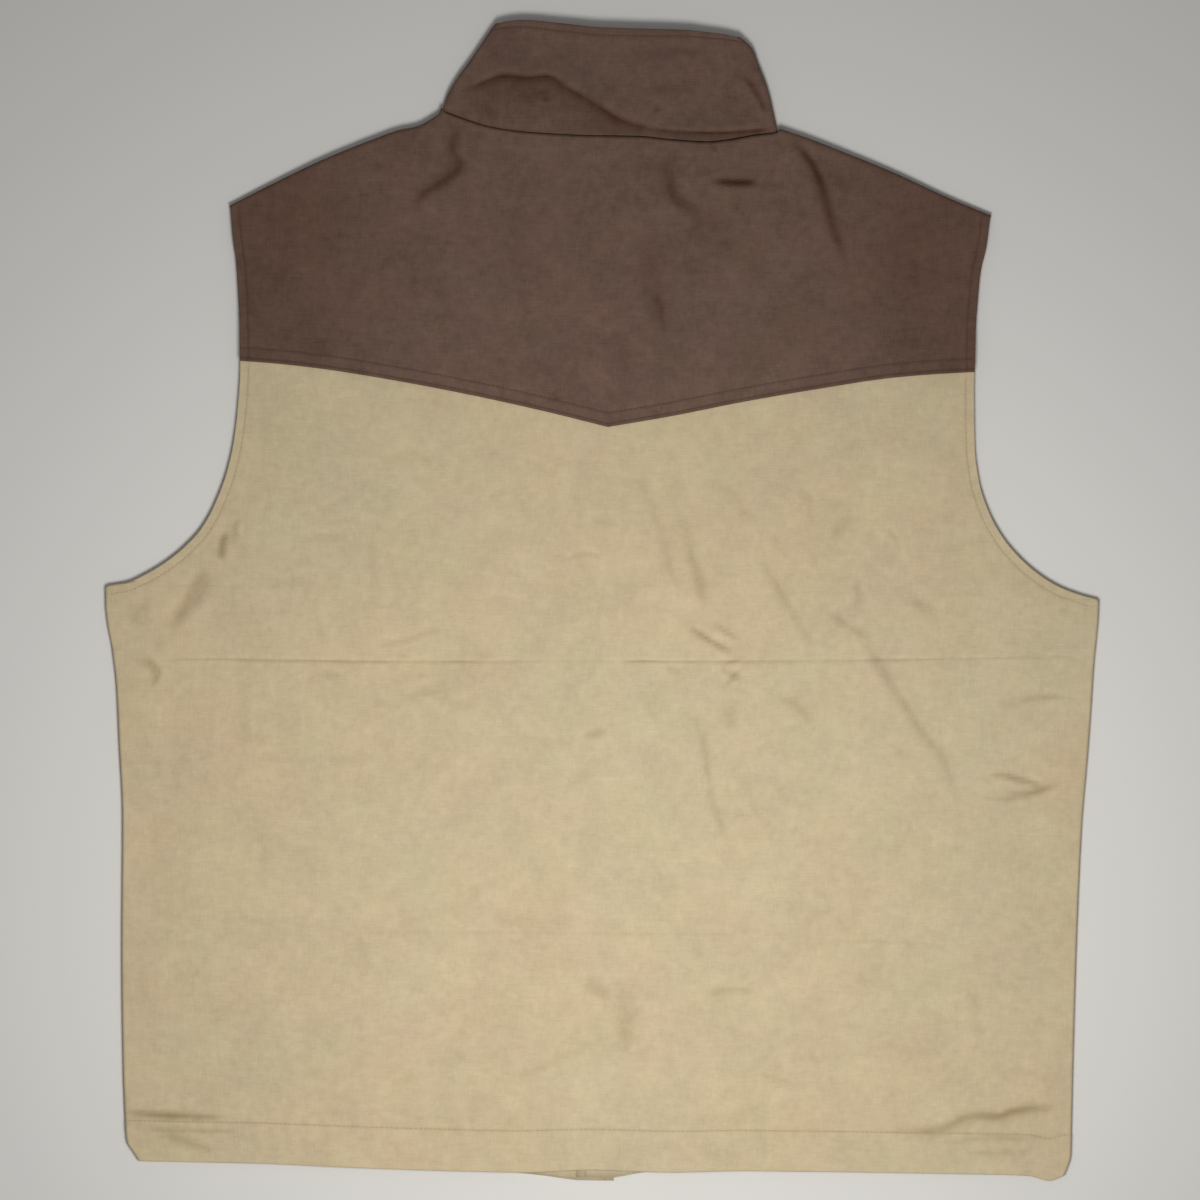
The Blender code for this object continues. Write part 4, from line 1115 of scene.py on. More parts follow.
# %% Creases of the yoke
YOKE_CREASES = [
    Crease("drop", 2.2, 4.6, 0.4, [
        (-124.3, 242.2), (-119.4, 256.3), (-105.5, 266.8), (-94.7, 275.9), (-99.4, 287.3), (-98.9, 300.1),
        (-97.1, 307.9)
    ]),
    Crease("trough", 0.8, 5.0, 0.08, [(-124.4, 246), (-131.8, 229.3), (-134.1, 210)]),
    Crease("drop", 2.4, 4.6, 0.5, [(35.7, 286), (37.2, 273.2), (39.2, 263), (46.4, 254.8), (59.3, 246.7)]),
    Crease("trough", 1.5, 7.0, 0.2, [(48.2, 260), (62.5, 247.4), (72.9, 232.1), (77.7, 214.3)]),
    Crease("ridge", 2.4, 2.5, 0.95, [(63.5, 267.2), (71.2, 266.7), (84, 266.2), (98.1, 267.1)]),
    Crease("trough", 0.8, 2.6, 0.12, [(90.4, 266.9), (103.1, 269), (115.9, 270.5)]),
    Crease("drop", 2.5, 3.8, 0.66, [
        (113.5, 303.1), (118.8, 294.2), (127.9, 282.8), (135.1, 268.9), (140.5, 249.7), (146.5, 231.9),
        (155.1, 214.1)
    ]),
    Crease("trough", 1.0, 3.2, 0.16, [(140.1, 284.3), (146.6, 275.4), (155.7, 262.7)]),
    Crease("trough", 1.7, 5.4, 0.26, [
        (31.2, 241.2), (28.9, 225.1), (29.1, 205.9), (32, 186.8), (36.1, 164.4)
    ]),
    Crease("ridge", 1.1, 2.4, 0.3, [(30.5, 198.3), (33.3, 181.7), (34.8, 170.2)]),
    Crease("ridge", 1.3, 2.2, 0.45, [(59.2, 296.6), (63.1, 291.5), (69.6, 286.5)]),
    Crease("trough", 1.0, 7.0, 0.12, [(95.8, 248.5), (97.3, 226.1), (95.8, 200.5)]),
    Crease("trough", 0.6, 7.0, 0.06, [(104.2, 194.2), (117.2, 181.6), (123.9, 161.2)]),
    Crease("trough", 0.9, 6.0, 0.1, [(-1.9, 179.9), (9.9, 164.7), (21.7, 144.4)]),
    Crease("trough", 0.9, 8.0, 0.09, [(-178.5, 267), (-183.1, 235), (-185.2, 196.5)]),
    Crease("trough", 0.8, 6.0, 0.08, [(-64.4, 258.4), (-61.6, 239.2), (-65.8, 222.5)]),
    Crease("trough", 0.9, 9.0, 0.09, [(189.7, 259.4), (194.6, 227.4), (191.3, 189)]),
]

# %% Surface of the yoke
# How much of its own thickness the yoke rises above the back, from the lap up
YOKE_RISES = [Seam(0.0, 1.0), Seam(0.16, 0.55), Seam(0.34, 0.12), Seam(0.52, 0.0), Seam(1.0, 0.0)]
SETTLED_FROM, SETTLED_OVER = 0.93, 0.07


def yoke_main(columns, up, low, top):
    """The yoke from the top of its lap up to the neck and the shoulders."""
    side, share, _ = columns
    lap_top = YOKE_SIDE_HEIGHT + YOKE_LAP
    x, y = mix(low[0], top[0], up), mix(low[1], top[1], up)
    edge = mix(lap_top, OUTLINE[-1].height, up)
    straight = mix(reach(edge * 0 + lap_top, side), reach(edge * 0 + OUTLINE[-1].height, side), up)
    x = x * mix(1, reach(edge, side) / straight, share)
    level = back_level(x, y, share, YOKE_CREASES + BODY_CREASES)
    level = mix(level, back_level(x, y, share, []), ease((up - SETTLED_FROM) / SETTLED_OVER))
    z = level + along(YOKE_RISES, up, "height") * (CLOTH + SEAM_GAP)
    return np.stack([x, y, z], axis=-1)


def yoke_sheet(columns, lap_rows, up_rows, turn_rows, seam_rows):
    """The yoke from its lower edge up, over the shoulders and down to the forward shoulder seams."""
    side, share, turn = columns
    x, y, drop = back_plan(columns, YOKE_SIDE_HEIGHT + lap_rows)
    z = back_level(x, y, share, YOKE_CREASES + BODY_CREASES) - drop + CLOTH + SEAM_GAP
    lap = np.stack([x, y, z], axis=-1)
    start_x, start_y, seam_x, seam_y, out_x, out_y, radius = shoulder_plan(side, shoulder_share(share, turn))
    neck_x = np.where(side < 0, COLLAR_SEAM[0].across, COLLAR_SEAM[-1].across) * share / NECK_SHARE
    on_neck = share <= NECK_SHARE
    top_x = np.where(on_neck, neck_x, start_x)
    top_y = np.where(on_neck, along(COLLAR_SEAM, neck_x, "height"), start_y)
    main = yoke_main(columns, up_rows[:, None], (x[-1], y[-1]), (top_x, top_y))
    angle = np.radians(180 * turn_rows)[:, None]
    over_x = top_x + out_x * radius * np.sin(angle)
    over_y = top_y + out_y * radius * np.sin(angle)
    over_z = FRONT_LEVEL + radius * (1 + np.cos(angle))
    over = np.stack([over_x, over_y, over_z + 0 * over_x], axis=-1)
    down = seam_rows[:, None]
    under_x, under_y = mix(top_x, seam_x, down), mix(top_y, seam_y, down)
    under = np.stack([under_x, under_y, FRONT_LEVEL + 0 * under_x], axis=-1)
    flap = np.concatenate([over, under])
    steps = np.arange(1, len(flap) + 1)[:, None, None]
    beyond = main[-1] + (main[-1] - main[-2]) * steps
    flap = np.where((share < NECK_SHARE - 1e-6)[None, :, None], beyond, flap)
    return np.concatenate([lap, main[1:], flap])


# %% [markdown]
# The grid of the yoke also has points where there is no cloth, between the two shoulders above the
# neck. They keep the grid square, and the shell leaves their cells out. The sides of the yoke are
# a little darker in the photo, and so are its two seams, so the shade has three parts.

# %% Back yoke
YOKE_NECK_CELLS, YOKE_SHOULDER_CELLS = 63, 81
LAP_CELLS, UP_CELLS, TURN_CELLS, SEAM_CELLS = 9, 87, 9, 21
EDGE_ROWS = 20
UNMARKED = 100 * MM
SIDE_SHADE, NECK_SEAM_SHADE, YOKE_EDGE_SHADE = 0.22, 0.40, 0.22
SIDE_SHADE_FROM = 110 * MM

columns = back_columns(YOKE_NECK_CELLS, YOKE_SHOULDER_CELLS)
share = columns[1]
lap_rows = spaced(0, YOKE_LAP, LAP_CELLS, [(0, 0.8 * MM, 4)])
up_rows = np.linspace(0, 1, UP_CELLS + 1)
turn_rows = np.linspace(0, 1, TURN_CELLS + 1)[1:]
seam_rows = np.linspace(0, 1, SEAM_CELLS + 1)[1:]
yoke_grid = yoke_sheet(columns, lap_rows, up_rows, turn_rows, seam_rows)
flap_from = LAP_CELLS + UP_CELLS
cells = np.ones((yoke_grid.shape[0] - 1, yoke_grid.shape[1] - 1), bool)
cells[flap_from:, (share[1:] + share[:-1]) / 2 < NECK_SHARE] = False
print("yoke grid:", yoke_grid.shape[:2], "of which cloth:", round(cells.mean(), 2))

# %% Marks and shade of the yoke
yoke_armholes = armhole_line(yoke_grid, slice(0, flap_from + 1))
armhole = armhole_distance(yoke_grid, yoke_armholes)
edge_line = yoke_grid[0, :, :2]
from_edge, along_edge, _ = from_line(yoke_grid[..., 0], yoke_grid[..., 1], edge_line)
row_numbers = np.arange(yoke_grid.shape[0])[:, None]
near_edge, on_flap = row_numbers <= EDGE_ROWS, row_numbers > flap_from
yoke_mark = np.where(near_edge, from_edge, UNMARKED)
armhole_mark = np.where(on_flap, UNMARKED, armhole)
puckers = seam_puckers(along_edge, from_edge - 5 * MM, 0.11 * MM, 7 * MM, 15)
yoke_grid[..., 2] += puckers * (yoke_mark < UNMARKED / 2) * (1 - share**10)
from_edge = np.where(near_edge, from_edge, FAR)
edge = np.minimum(from_edge, np.where(on_flap, FAR, armhole))
neck_line = yoke_grid[flap_from, share < NECK_SHARE, :2]
from_neck = np.where(on_flap, FAR, from_line(yoke_grid[..., 0], yoke_grid[..., 1], neck_line)[0])
# Painted shade: the creases' shade, darker towards the yoke's sides, and dark lines along the neck seam and
# the lower edge
dark = creased(yoke_grid[..., 0], yoke_grid[..., 1], YOKE_CREASES)[1] * (1 - on_flap)
beside = ease((np.abs(yoke_grid[..., 0]) - SIDE_SHADE_FROM) / SIDE_SHADE_FROM)
dark = 1 - (1 - dark) * (1 - SIDE_SHADE * beside)
dark = np.maximum(dark, NECK_SEAM_SHADE * bump(from_neck / (1.2 * MM)))
dark = np.maximum(dark, YOKE_EDGE_SHADE * bump(from_edge / (0.9 * MM)))
marks = {"yoke_edge": yoke_mark, "armhole": armhole_mark, "dark": dark}
yoke = shell("yoke", yoke_grid, CLOTH, brown_canvas, rounded_to(edge), cells, marks)
yoke_area = area_of(yoke_grid, cells)
print("yoke area:", round(yoke_area, 4))

# %% [markdown]
# A stand collar is one strip round the neck. On a vest laid on its front, the back half lies up,
# the strip folds under at both sides of the neck, and its ends meet in front on the ground. A plain
# ring of cloth could be squashed flat, but its outline would have to be coaxed to the photo's. The
# strip is put together from five stretches with a known outline instead: front, fold, back, fold
# and front.

# %% Outline of the collar
COLLAR_FRONT_LEVEL = COLLAR_CLOTH / 2
COLLAR_FOLD_LEVEL = 5.6 * MM
COLLAR_BACK_RISE = 1.8 * MM
COLLAR_ROUND = (COLLAR_FOLD_LEVEL - COLLAR_FRONT_LEVEL) / 2

COLLAR_TOP = [
    Seam(-0.0740, 0.3672),
    Seam(-0.0680, 0.3700),
    Seam(-0.0551, 0.3712),
    Seam(-0.0295, 0.3690),
    Seam(-0.0038, 0.3668),
    Seam(0.0218, 0.3665),
    Seam(0.0474, 0.3662),
    Seam(0.0602, 0.3651),
    Seam(0.0730, 0.3638),
    Seam(0.0830, 0.3615),
]
CollarSide = namedtuple("CollarSide", "share left right")
COLLAR_SIDES = [
    CollarSide(0.00, 0.1078, 0.1080),
    CollarSide(0.18, 0.1045, 0.1055),
    CollarSide(0.38, 0.0982, 0.1026),
    CollarSide(0.52, 0.0924, 0.0998),
    CollarSide(0.70, 0.0855, 0.0953),
    CollarSide(0.86, 0.0795, 0.0915),
    CollarSide(1.00, 0.0740, 0.0830),
]
NECKLINE = [
    Seam(-0.0120, 0.2240),
    Seam(0.0000, 0.2240),
    Seam(0.0240, 0.2255),
    Seam(0.0480, 0.2310),
    Seam(0.0720, 0.2445),
    Seam(0.0874, 0.2637),
]

COLLAR_FRONT_DIP = 0.2940
COLLAR_FRONT_CURVE = 2.2
COLLAR_BESIDE_YOKE = 0.4
NECK_CLEARANCE = 3 * SEAM_GAP


def collar_side(side, share):
    return along(COLLAR_SIDES, share, "left" if side < 0 else "right")


def collar_fold_start(side, up):
    """Where the collar starts to turn under at its side, at these shares of its height."""
    x = side * (collar_side(side, up) - COLLAR_ROUND - COLLAR_CLOTH / 2)
    bottom = side * (collar_side(side, 0) - COLLAR_ROUND - COLLAR_CLOTH / 2)
    top = side * (collar_side(side, 1) - COLLAR_ROUND - COLLAR_CLOTH / 2)
    low = along(COLLAR_SEAM, bottom, "height") + SEAM_GAP
    return x, mix(low, along(COLLAR_TOP, top, "height"), up)


# %% Creases of the collar
COLLAR_CREASES = [
    Crease("fold", 4.2, 9.0, 0.6, [
        (-99, 323), (-85, 330), (-69, 336), (-53, 335), (-39, 336), (-28, 329), (-15, 322), (-2, 314),
        (9, 308), (23, 304), (36, 301.5)
    ]),
    Crease("fold", 2.4, 6.0, 0.62, [(25, 303.2), (45, 301.6), (70, 301.4), (92, 303), (104, 304)]),
    Crease("trough", 1.2, 2.4, 0.22, [(-44.3, 330.4), (-42.3, 324.6), (-39.6, 317.6)]),
    Crease("trough", 1.0, 3.5, 0.12, [(-84.4, 317.6), (-76.7, 313.3), (-68.9, 308.2)]),
    Crease("trough", 0.9, 2.2, 0.15, [(30.1, 321.2), (30.9, 312.2)]),
    Crease("ridge", 2.0, 2.2, 0.55, [(83.6, 337.3), (92.8, 323.3), (100, 310.6)]),
    Crease("trough", 0.9, 5.0, 0.06, [(18.9, 342.8), (28.4, 351.9), (47.5, 354.7), (71.3, 351.2)]),
    Crease("trough", 0.8, 4.0, 0.07, [(12.7, 326), (38.3, 331.5), (67.7, 334.5)]),
]

# %% Surface of the collar


def collar_front_edge(side, place):
    """The collar's lower edge on the front: down beside the yoke, then round the front neckline."""
    start_x, start_y = collar_fold_start(side, 0.0)
    start_x = abs(start_x)
    corner_x, corner_y = FRONT_SEAM_AT_NECK
    t = place / COLLAR_BESIDE_YOKE
    beside_x = mix(start_x, corner_x, t) - NECK_CLEARANCE * ease(4 * t)
    beside_y = mix(start_y, corner_y, t)
    t = np.clip((place - COLLAR_BESIDE_YOKE) / (1 - COLLAR_BESIDE_YOKE), 0, 1)
    across = mix(corner_x, -FRONT_LAP, t)
    round_x = across - NECK_CLEARANCE * (1 - t)
    round_y = along(NECKLINE, across, "height") + NECK_CLEARANCE / 2
    beside = place <= COLLAR_BESIDE_YOKE
    return np.where(beside, beside_x, round_x), np.where(beside, beside_y, round_y)


def collar_back(places, up):
    """The back half of the collar, which lies up; places run from -1 at the left fold to 1."""
    ends = [collar_fold_start(side, height)[0] for height in (0.0, 1.0) for side in (-1, 1)]
    share = (places + 1) / 2
    x = mix(collar_fold_start(-1, up)[0], collar_fold_start(1, up)[0], share)
    bottom, top = mix(ends[0], ends[1], share), mix(ends[2], ends[3], share)
    y = mix(along(COLLAR_SEAM, bottom, "height") + SEAM_GAP, along(COLLAR_TOP, top, "height"), up)
    z = COLLAR_FOLD_LEVEL + COLLAR_BACK_RISE * (1 - places**2) + 0 * up
    lift = creased(x, y, COLLAR_CREASES)[0] + 0.6 * swells(x * 1.7, y * 1.7)
    return np.stack([x, y, z + lift * (1 - np.abs(places) ** 14)], axis=-1)


def collar_fold(side, turns, up):
    """The fold at a side of the neck, round half a turn."""
    x, y = collar_fold_start(side, up)
    angle = np.radians(turns)
    z = COLLAR_FRONT_LEVEL + COLLAR_ROUND * (1 + np.cos(angle)) + 0 * up
    return np.stack([x + side * COLLAR_ROUND * np.sin(angle), y + 0 * angle, z], axis=-1)


def collar_front(side, places, up):
    """An end of the collar, from its fold (place 0) to the centre front (place 1)."""
    x, _ = collar_fold_start(side, up)
    low_x, low_y = collar_front_edge(side, places)
    fold_top_x, fold_top_y = collar_fold_start(side, 1.0)
    top_x = mix(abs(fold_top_x), -FRONT_LAP, places)
    spread = np.maximum(0, top_x) / abs(fold_top_x)
    top_y = mix(COLLAR_FRONT_DIP, fold_top_y, spread**COLLAR_FRONT_CURVE)
    straight = mix(abs(collar_fold_start(side, 0.0)[0]), abs(fold_top_x), up)
    across = mix(low_x, top_x, up) + (1 - places) * (np.abs(x) - straight)
    z = COLLAR_FRONT_LEVEL + front_lift(side * across if side < 0 else across, side, COLLAR_CLOTH)
    return np.stack([side * across, mix(low_y, top_y, up), z], axis=-1)


def collar_sheet(front_cells, fold_cells, back_cells, up):
    """The whole strip as one grid, from its left end to its right end."""
    up = up[:, None]
    place = np.linspace(0, 1, front_cells + 1)
    turn = np.linspace(0, 180, fold_cells + 1)
    across = np.linspace(-1, 1, back_cells + 1)
    stretches = [
        collar_front(-1, place[::-1], up),
        collar_fold(-1, turn[::-1], up)[:, 1:],
        collar_back(across, up)[:, 1:],
        collar_fold(1, turn, up)[:, 1:],
        collar_front(1, place, up)[:, 1:],
    ]
    return np.concatenate(stretches, axis=1)


# %% Collar
COLLAR_ROWS, COLLAR_FRONT_CELLS, COLLAR_FOLD_CELLS, COLLAR_BACK_CELLS = 72, 84, 12, 180
COLLAR_SEAM_SHADE = 0.30

up = spaced(0, 1, COLLAR_ROWS, [(0, 0.012, 3), (1, 0.012, 3)])
collar_grid = collar_sheet(COLLAR_FRONT_CELLS, COLLAR_FOLD_CELLS, COLLAR_BACK_CELLS, up)
from_top = np.linalg.norm(collar_grid - collar_grid[-1:], axis=-1)
from_bottom = np.linalg.norm(collar_grid - collar_grid[:1], axis=-1)
dark = creased(collar_grid[..., 0], collar_grid[..., 1], COLLAR_CREASES)[1]
dark = np.maximum(dark, COLLAR_SEAM_SHADE * bump(from_bottom / (1.4 * MM)))
# The creases are those of the back half, so the ends and the lower half of each fold stay plain
underneath = COLLAR_FRONT_CELLS + COLLAR_FOLD_CELLS // 2 + 1
dark[:, :underneath] = 0
dark[:, -underneath:] = 0
edge = np.minimum(from_top, from_bottom)
marks = {"collar_edge": from_top, "dark": dark}
collar = shell("collar_shell", collar_grid, COLLAR_CLOTH, brown_canvas, rounded_to(edge), marks=marks)
collar_area = area_of(collar_grid)
print("collar area:", round(collar_area, 4))

# %% [markdown]
# The two fronts are hidden, but the part is also seen from below, so they are built with the same
# care: a neckline, a shoulder seam, an armhole cut a little deeper than the back's, and a lap at the
# centre with the left front outermost. The creases may only lift the cloth, because it lies on
# the ground.

# %% Outline and creases of the fronts
FRONT_ARMHOLE_CUT = 11.7 * MM
FRONT_BEND_FROM = 30 * MM
FRONT_HEM_REACH = 100 * MM
FRONT_HEM_AT_SIDE = -0.3628
# The lapping front hangs a little lower than the other, and drops more slowly towards the centre
FrontHem = namedtuple("FrontHem", "at_centre curve")
FRONT_HEMS = {-1: FrontHem(-0.3712, 4.5), 1: FrontHem(-0.3690, 11.0)}

FRONT_CREASES = [
    Crease("packing", 0.8, 1.6, 0.10, [
        (-300, -41), (-129, -40), (-27, -38), (76, -37), (191, -34), (300, -32)
    ]),
    Crease("packing", 0.6, 1.8, 0.08, [(-290, -207), (-76, -212), (78, -211), (288, -214)]),
    Crease("trough", 1.4, 4.0, 0.12, [(-190, 60), (-160, 20), (-150, -20)]),
    Crease("trough", 1.3, 4.0, 0.12, [(-110, -90), (-95, -140), (-98, -175)]),
    Crease("trough", 1.4, 4.5, 0.12, [(-240, -80), (-215, -110), (-180, -128)]),
    Crease("trough", 1.1, 3.6, 0.12, [(-150, -250), (-120, -276), (-80, -284)]),
    Crease("trough", 1.4, 4.0, 0.12, [(170, 90), (150, 40), (158, 4)]),
    Crease("trough", 1.3, 4.0, 0.12, [(90, -60), (112, -98), (108, -150)]),
    Crease("trough", 1.4, 4.5, 0.12, [(250, -70), (228, -112), (190, -140)]),
    Crease("trough", 1.1, 3.6, 0.12, [(205, -236), (170, -262), (140, -300)]),
]


def front_top(x):
    """The front's upper edge at this distance from the centre: the neckline, then the shoulder seam."""
    neck, arm = FRONT_SEAM_AT_NECK, FRONT_SEAM_AT_ARM
    sloping = mix(neck[1], arm[1], np.clip((x - neck[0]) / (arm[0] - neck[0]), 0, 1))
    return np.where(x <= neck[0], along(NECKLINE, x, "height"), sloping)


# %% Surface of a front


def front_ridges(x, y, from_inner, from_outer, from_low, from_top):
    """How far creases and washing lift a front, fading out at all its edges."""
    inside = ease(from_inner / (30 * MM)) * ease((from_outer - 12 * MM) / (30 * MM))
    inside = inside * ease((from_low - 8 * MM) / (30 * MM)) * ease((from_top - 10 * MM) / (30 * MM))
    washed = 0.25 * MM * np.maximum(0, rough(x, y, 60 * MM, 21))
    return (np.maximum(0, -creased(x, y, FRONT_CREASES)[0]) + washed) * inside


def front_sheet(side, lap_cells, width_cells, heights):
    """The middle of a front panel, rows by columns."""
    h = heights[:, None]
    top = FRONT_SEAM_AT_ARM[1] - SEAM_GAP
    outer = reach(h, side) - FRONT_ARMHOLE_CUT * ease((h - ARMPIT) / (top - ARMPIT))
    lap = np.linspace(-FRONT_LAP, LAP_END, lap_cells + 1)[:-1]
    share = np.concatenate([np.linspace(0, 1, width_cells + 1), np.ones(len(TURNS))])
    turn = np.concatenate([np.zeros(width_cells + 1), TURNS])
    flat_x, rise = rolled(h, 1, 1.0, turn, outer)
    x = np.concatenate([lap + 0 * h, mix(LAP_END, flat_x, share)], axis=1)
    rise = np.concatenate([0 * lap + 0 * h, rise], axis=1)
    top_x = np.concatenate([lap, mix(LAP_END, FRONT_SEAM_AT_ARM[0], share)])
    bend = ease((h - FRONT_BEND_FROM) / (top - FRONT_BEND_FROM))
    y = h + bend * (front_top(top_x) - FRONT_SEAM_AT_ARM[1])
    low = 1 - ease((h - HEM_EDGE) / FRONT_HEM_REACH)
    hang = np.maximum(0, 1 - np.maximum(0, np.abs(x) - FRONT_LAP) / outer) ** FRONT_HEMS[side].curve
    y = y + low * hang * (FRONT_HEMS[side].at_centre - FRONT_HEM_AT_SIDE)
    lift = front_lift(side * x if side < 0 else x, side, CLOTH)
    ridges = front_ridges(side * x, y, x - LAP_END, outer - x, h - HEM_EDGE, top - h)
    grid = np.stack([side * x, y, FRONT_LEVEL + rise + lift + ridges], axis=-1)
    return grid if side < 0 else grid[:, ::-1]


# %% Fronts
FRONT_ROWS, FRONT_LAP_CELLS, FRONT_CELLS = 186, 18, 99
crowded = [(HEM_EDGE, 0.9 * MM, 5), (ARMPIT + 3.5 * MM, 4 * MM, 3)]
heights = spaced(HEM_EDGE, FRONT_SEAM_AT_ARM[1] - SEAM_GAP, FRONT_ROWS, crowded)
fronts, front_areas, front_grids = [], [], []
for side, name in ((-1, "left_front"), (1, "right_front")):
    grid = front_sheet(side, FRONT_LAP_CELLS, FRONT_CELLS, heights)
    outer_column, lap_column = (-1, 0) if side < 0 else (0, -1)
    away, _, _ = from_line(grid[..., 0], grid[..., 1], grid[heights > ARMPIT, outer_column, :2])
    away = np.where((heights < ARMPIT)[:, None], FAR, away)
    placket = np.abs(grid[..., 0] - grid[:, lap_column, None, 0])
    hem_mark = (heights - HEM_EDGE)[:, None] + 0 * away
    edge = np.minimum(np.minimum(away, placket), hem_mark)
    marks = {"armhole": away, "placket": placket, "hem": hem_mark}
    fronts.append(shell(name, grid, CLOTH, tan_canvas, rounded_to(edge), marks=marks))
    front_areas.append(area_of(grid))
    front_grids.append(grid)
print("front areas:", [round(a, 4) for a in front_areas])

# %% [markdown]
# Topstitching is thread on top of the cloth: one short strand for each stitch, dipping into the
# cloth at both ends. A texture of dashes would look the same from far away, but real strands catch
# the light and are part of the mesh. A ray from above, or from below for the fronts, finds
# the cloth under each stitch, so that it follows the creases.

# %% Lines for the stitches
STITCH_PITCH = 3.1 * MM
STITCH_LENGTH = 2.5 * MM
THREAD = 0.24 * MM


def tree_of(obj):
    """The shell's faces in a form that a ray can be cast at."""
    mesh = obj.data
    return BVHTree.FromPolygons([v.co[:] for v in mesh.vertices], [p.vertices[:] for p in mesh.polygons])


def lengths_along(line):
    """How far along the line each of its points is."""
    return np.concatenate([[0], np.cumsum(np.hypot(*np.diff(line, axis=0).T))])


def offset_line(line, distance, step=1 * MM):
    """The line moved sideways to its left by this distance, with evenly spaced points."""
    length = lengths_along(line)
    places = np.arange(0, length[-1], step)
    even = np.stack([np.interp(places, length, line[:, k]) for k in (0, 1)], axis=-1)
    kernel = np.ones(7) / 7
    way = np.gradient(even, axis=0)
    way = np.stack([np.convolve(np.pad(way[:, k], 3, mode="edge"), kernel, "valid") for k in (0, 1)], axis=-1)
    way /= np.linalg.norm(way, axis=1, keepdims=True)
    return even + distance * np.stack([-way[:, 1], way[:, 0]], axis=-1)


# %% One stitch, and all the stitches of a piece
# The strand's rings: place along it, and thickness and height as a share of the thread's
STRAND = [(-0.5, 0.35), (-0.36, 0.9), (0.0, 1.0), (0.36, 0.9), (0.5, 0.35)]
SIDES = 6
RAY_FROM = 50 * MM
RUN_TRIM = 2 * MM


def cloth_under(tree, x, y, from_side):
    """(place, normal) of the cloth at (x, y), seen from above (1) or below (-1), or None."""
    hit, normal, _, _ = tree.ray_cast(Vector((x, y, RAY_FROM * from_side)), Vector((0, 0, -from_side)))
    return None if hit is None else (np.array(hit), np.array(normal))


def strand(ends, size, slant, from_side):
    """The points of one stitch over three places on the cloth."""
    way = ends[2][0] - ends[0][0]
    way /= np.linalg.norm(way)
    normal = ends[1][1] * np.sign(ends[1][1][2] * from_side)
    across = np.cross(normal, way)
    across /= np.linalg.norm(across)
    normal = np.cross(way, across)
    way = way + across * slant
    points = []
    for t, share in STRAND:
        middle = ends[1][0] + way * (t * size) + normal * THREAD * (0.45 * share - 0.25)
        for k in range(SIDES):
            angle = 2 * math.pi * k / SIDES
            ring = across * math.cos(angle) + normal * math.sin(angle) * 0.8
            points.append(middle + ring * THREAD * share)
    return points


def strand_faces(base):
    """The faces of a stitch whose first point has this number."""
    faces = []
    for r in range(len(STRAND) - 1):
        a, b = base + r * SIDES, base + (r + 1) * SIDES
        faces += [[a + k, b + k, b + (k + 1) % SIDES, a + (k + 1) % SIDES] for k in range(SIDES)]
    last = base + (len(STRAND) - 1) * SIDES
    return [*faces, [base + k for k in range(SIDES)], [last + k for k in reversed(range(SIDES))]]


def stitches(name, runs, material, seed):
    """One mesh of all the stitches in runs of (line, tree of the cloth, 1 from above or -1 from below)."""
    rng = np.random.default_rng(seed)
    points, faces = [], []
    for line, tree, from_side in runs:
        length = lengths_along(line)
        for place in np.arange(RUN_TRIM, length[-1] - RUN_TRIM, STITCH_PITCH):
            size = STITCH_LENGTH * rng.uniform(0.92, 1.06)
            at = np.array([place - size / 2, place, place + size / 2])
            xs, ys = (np.interp(at, length, line[:, k]) for k in (0, 1))
            ends = [cloth_under(tree, x, y, from_side) for x, y in zip(xs, ys)]
            if None in ends:
                continue
            faces += strand_faces(len(points))
            points += strand(ends, size, rng.uniform(-0.05, 0.05), from_side)
    mesh = bpy.data.meshes.new(name)
    mesh.from_pydata([tuple(p) for p in points], [], faces)
    mesh.update()
    bm = bmesh.new()
    bm.from_mesh(mesh)
    bmesh.ops.recalc_face_normals(bm, faces=bm.faces)
    bm.to_mesh(mesh)
    bm.free()
    mesh.shade_smooth()
    mesh.materials.append(material)
    obj = bpy.data.objects.new(name, mesh)
    bpy.context.scene.collection.objects.link(obj)
    mesh.calc_loop_triangles()
    print(f"{name}: {len(points) // (SIDES * len(STRAND))} stitches, {len(mesh.loop_triangles)} triangles")
    return obj


# %% Stitches of the back and the yoke
back_tree, yoke_tree, collar_tree = tree_of(back), tree_of(yoke), tree_of(collar)
rolled_columns = 8
hem_heights = np.array([HEM_EDGE + HEM_DEPTH, HEM_EDGE + HEM_DEPTH + MM])
hem_row = back_sheet(back_columns(BACK_NECK_CELLS, BACK_SHOULDER_CELLS), hem_heights)[0]
back_runs = [(hem_row[rolled_columns:-rolled_columns, :2], back_tree, 1)]
for line, inwards in zip(back_armholes, (-ARMHOLE_STITCH, ARMHOLE_STITCH)):
    under_yoke = line[line[:, 1] < YOKE_SIDE_HEIGHT - 0.5 * MM]
    back_runs.append((offset_line(under_yoke, inwards), back_tree, 1))
back_stitches = stitches("back_stitches", back_runs, tan_thread, 31)

yoke_runs = [(offset_line(edge_line, away)[4:-4], yoke_tree, 1) for away in YOKE_STITCHES]
for line, inwards in zip(yoke_armholes, (-ARMHOLE_STITCH, ARMHOLE_STITCH)):
    yoke_runs.append((offset_line(line, inwards), yoke_tree, 1))
shoulder_columns = YOKE_SHOULDER_CELLS + len(TURNS)
for flap in (yoke_grid[-1, :shoulder_columns, :2], yoke_grid[-1, -shoulder_columns:, :2]):
    yoke_runs.append((offset_line(flap, 3 * MM), yoke_tree, -1))
yoke_stitches = stitches("yoke_stitches", yoke_runs, brown_thread, 32)

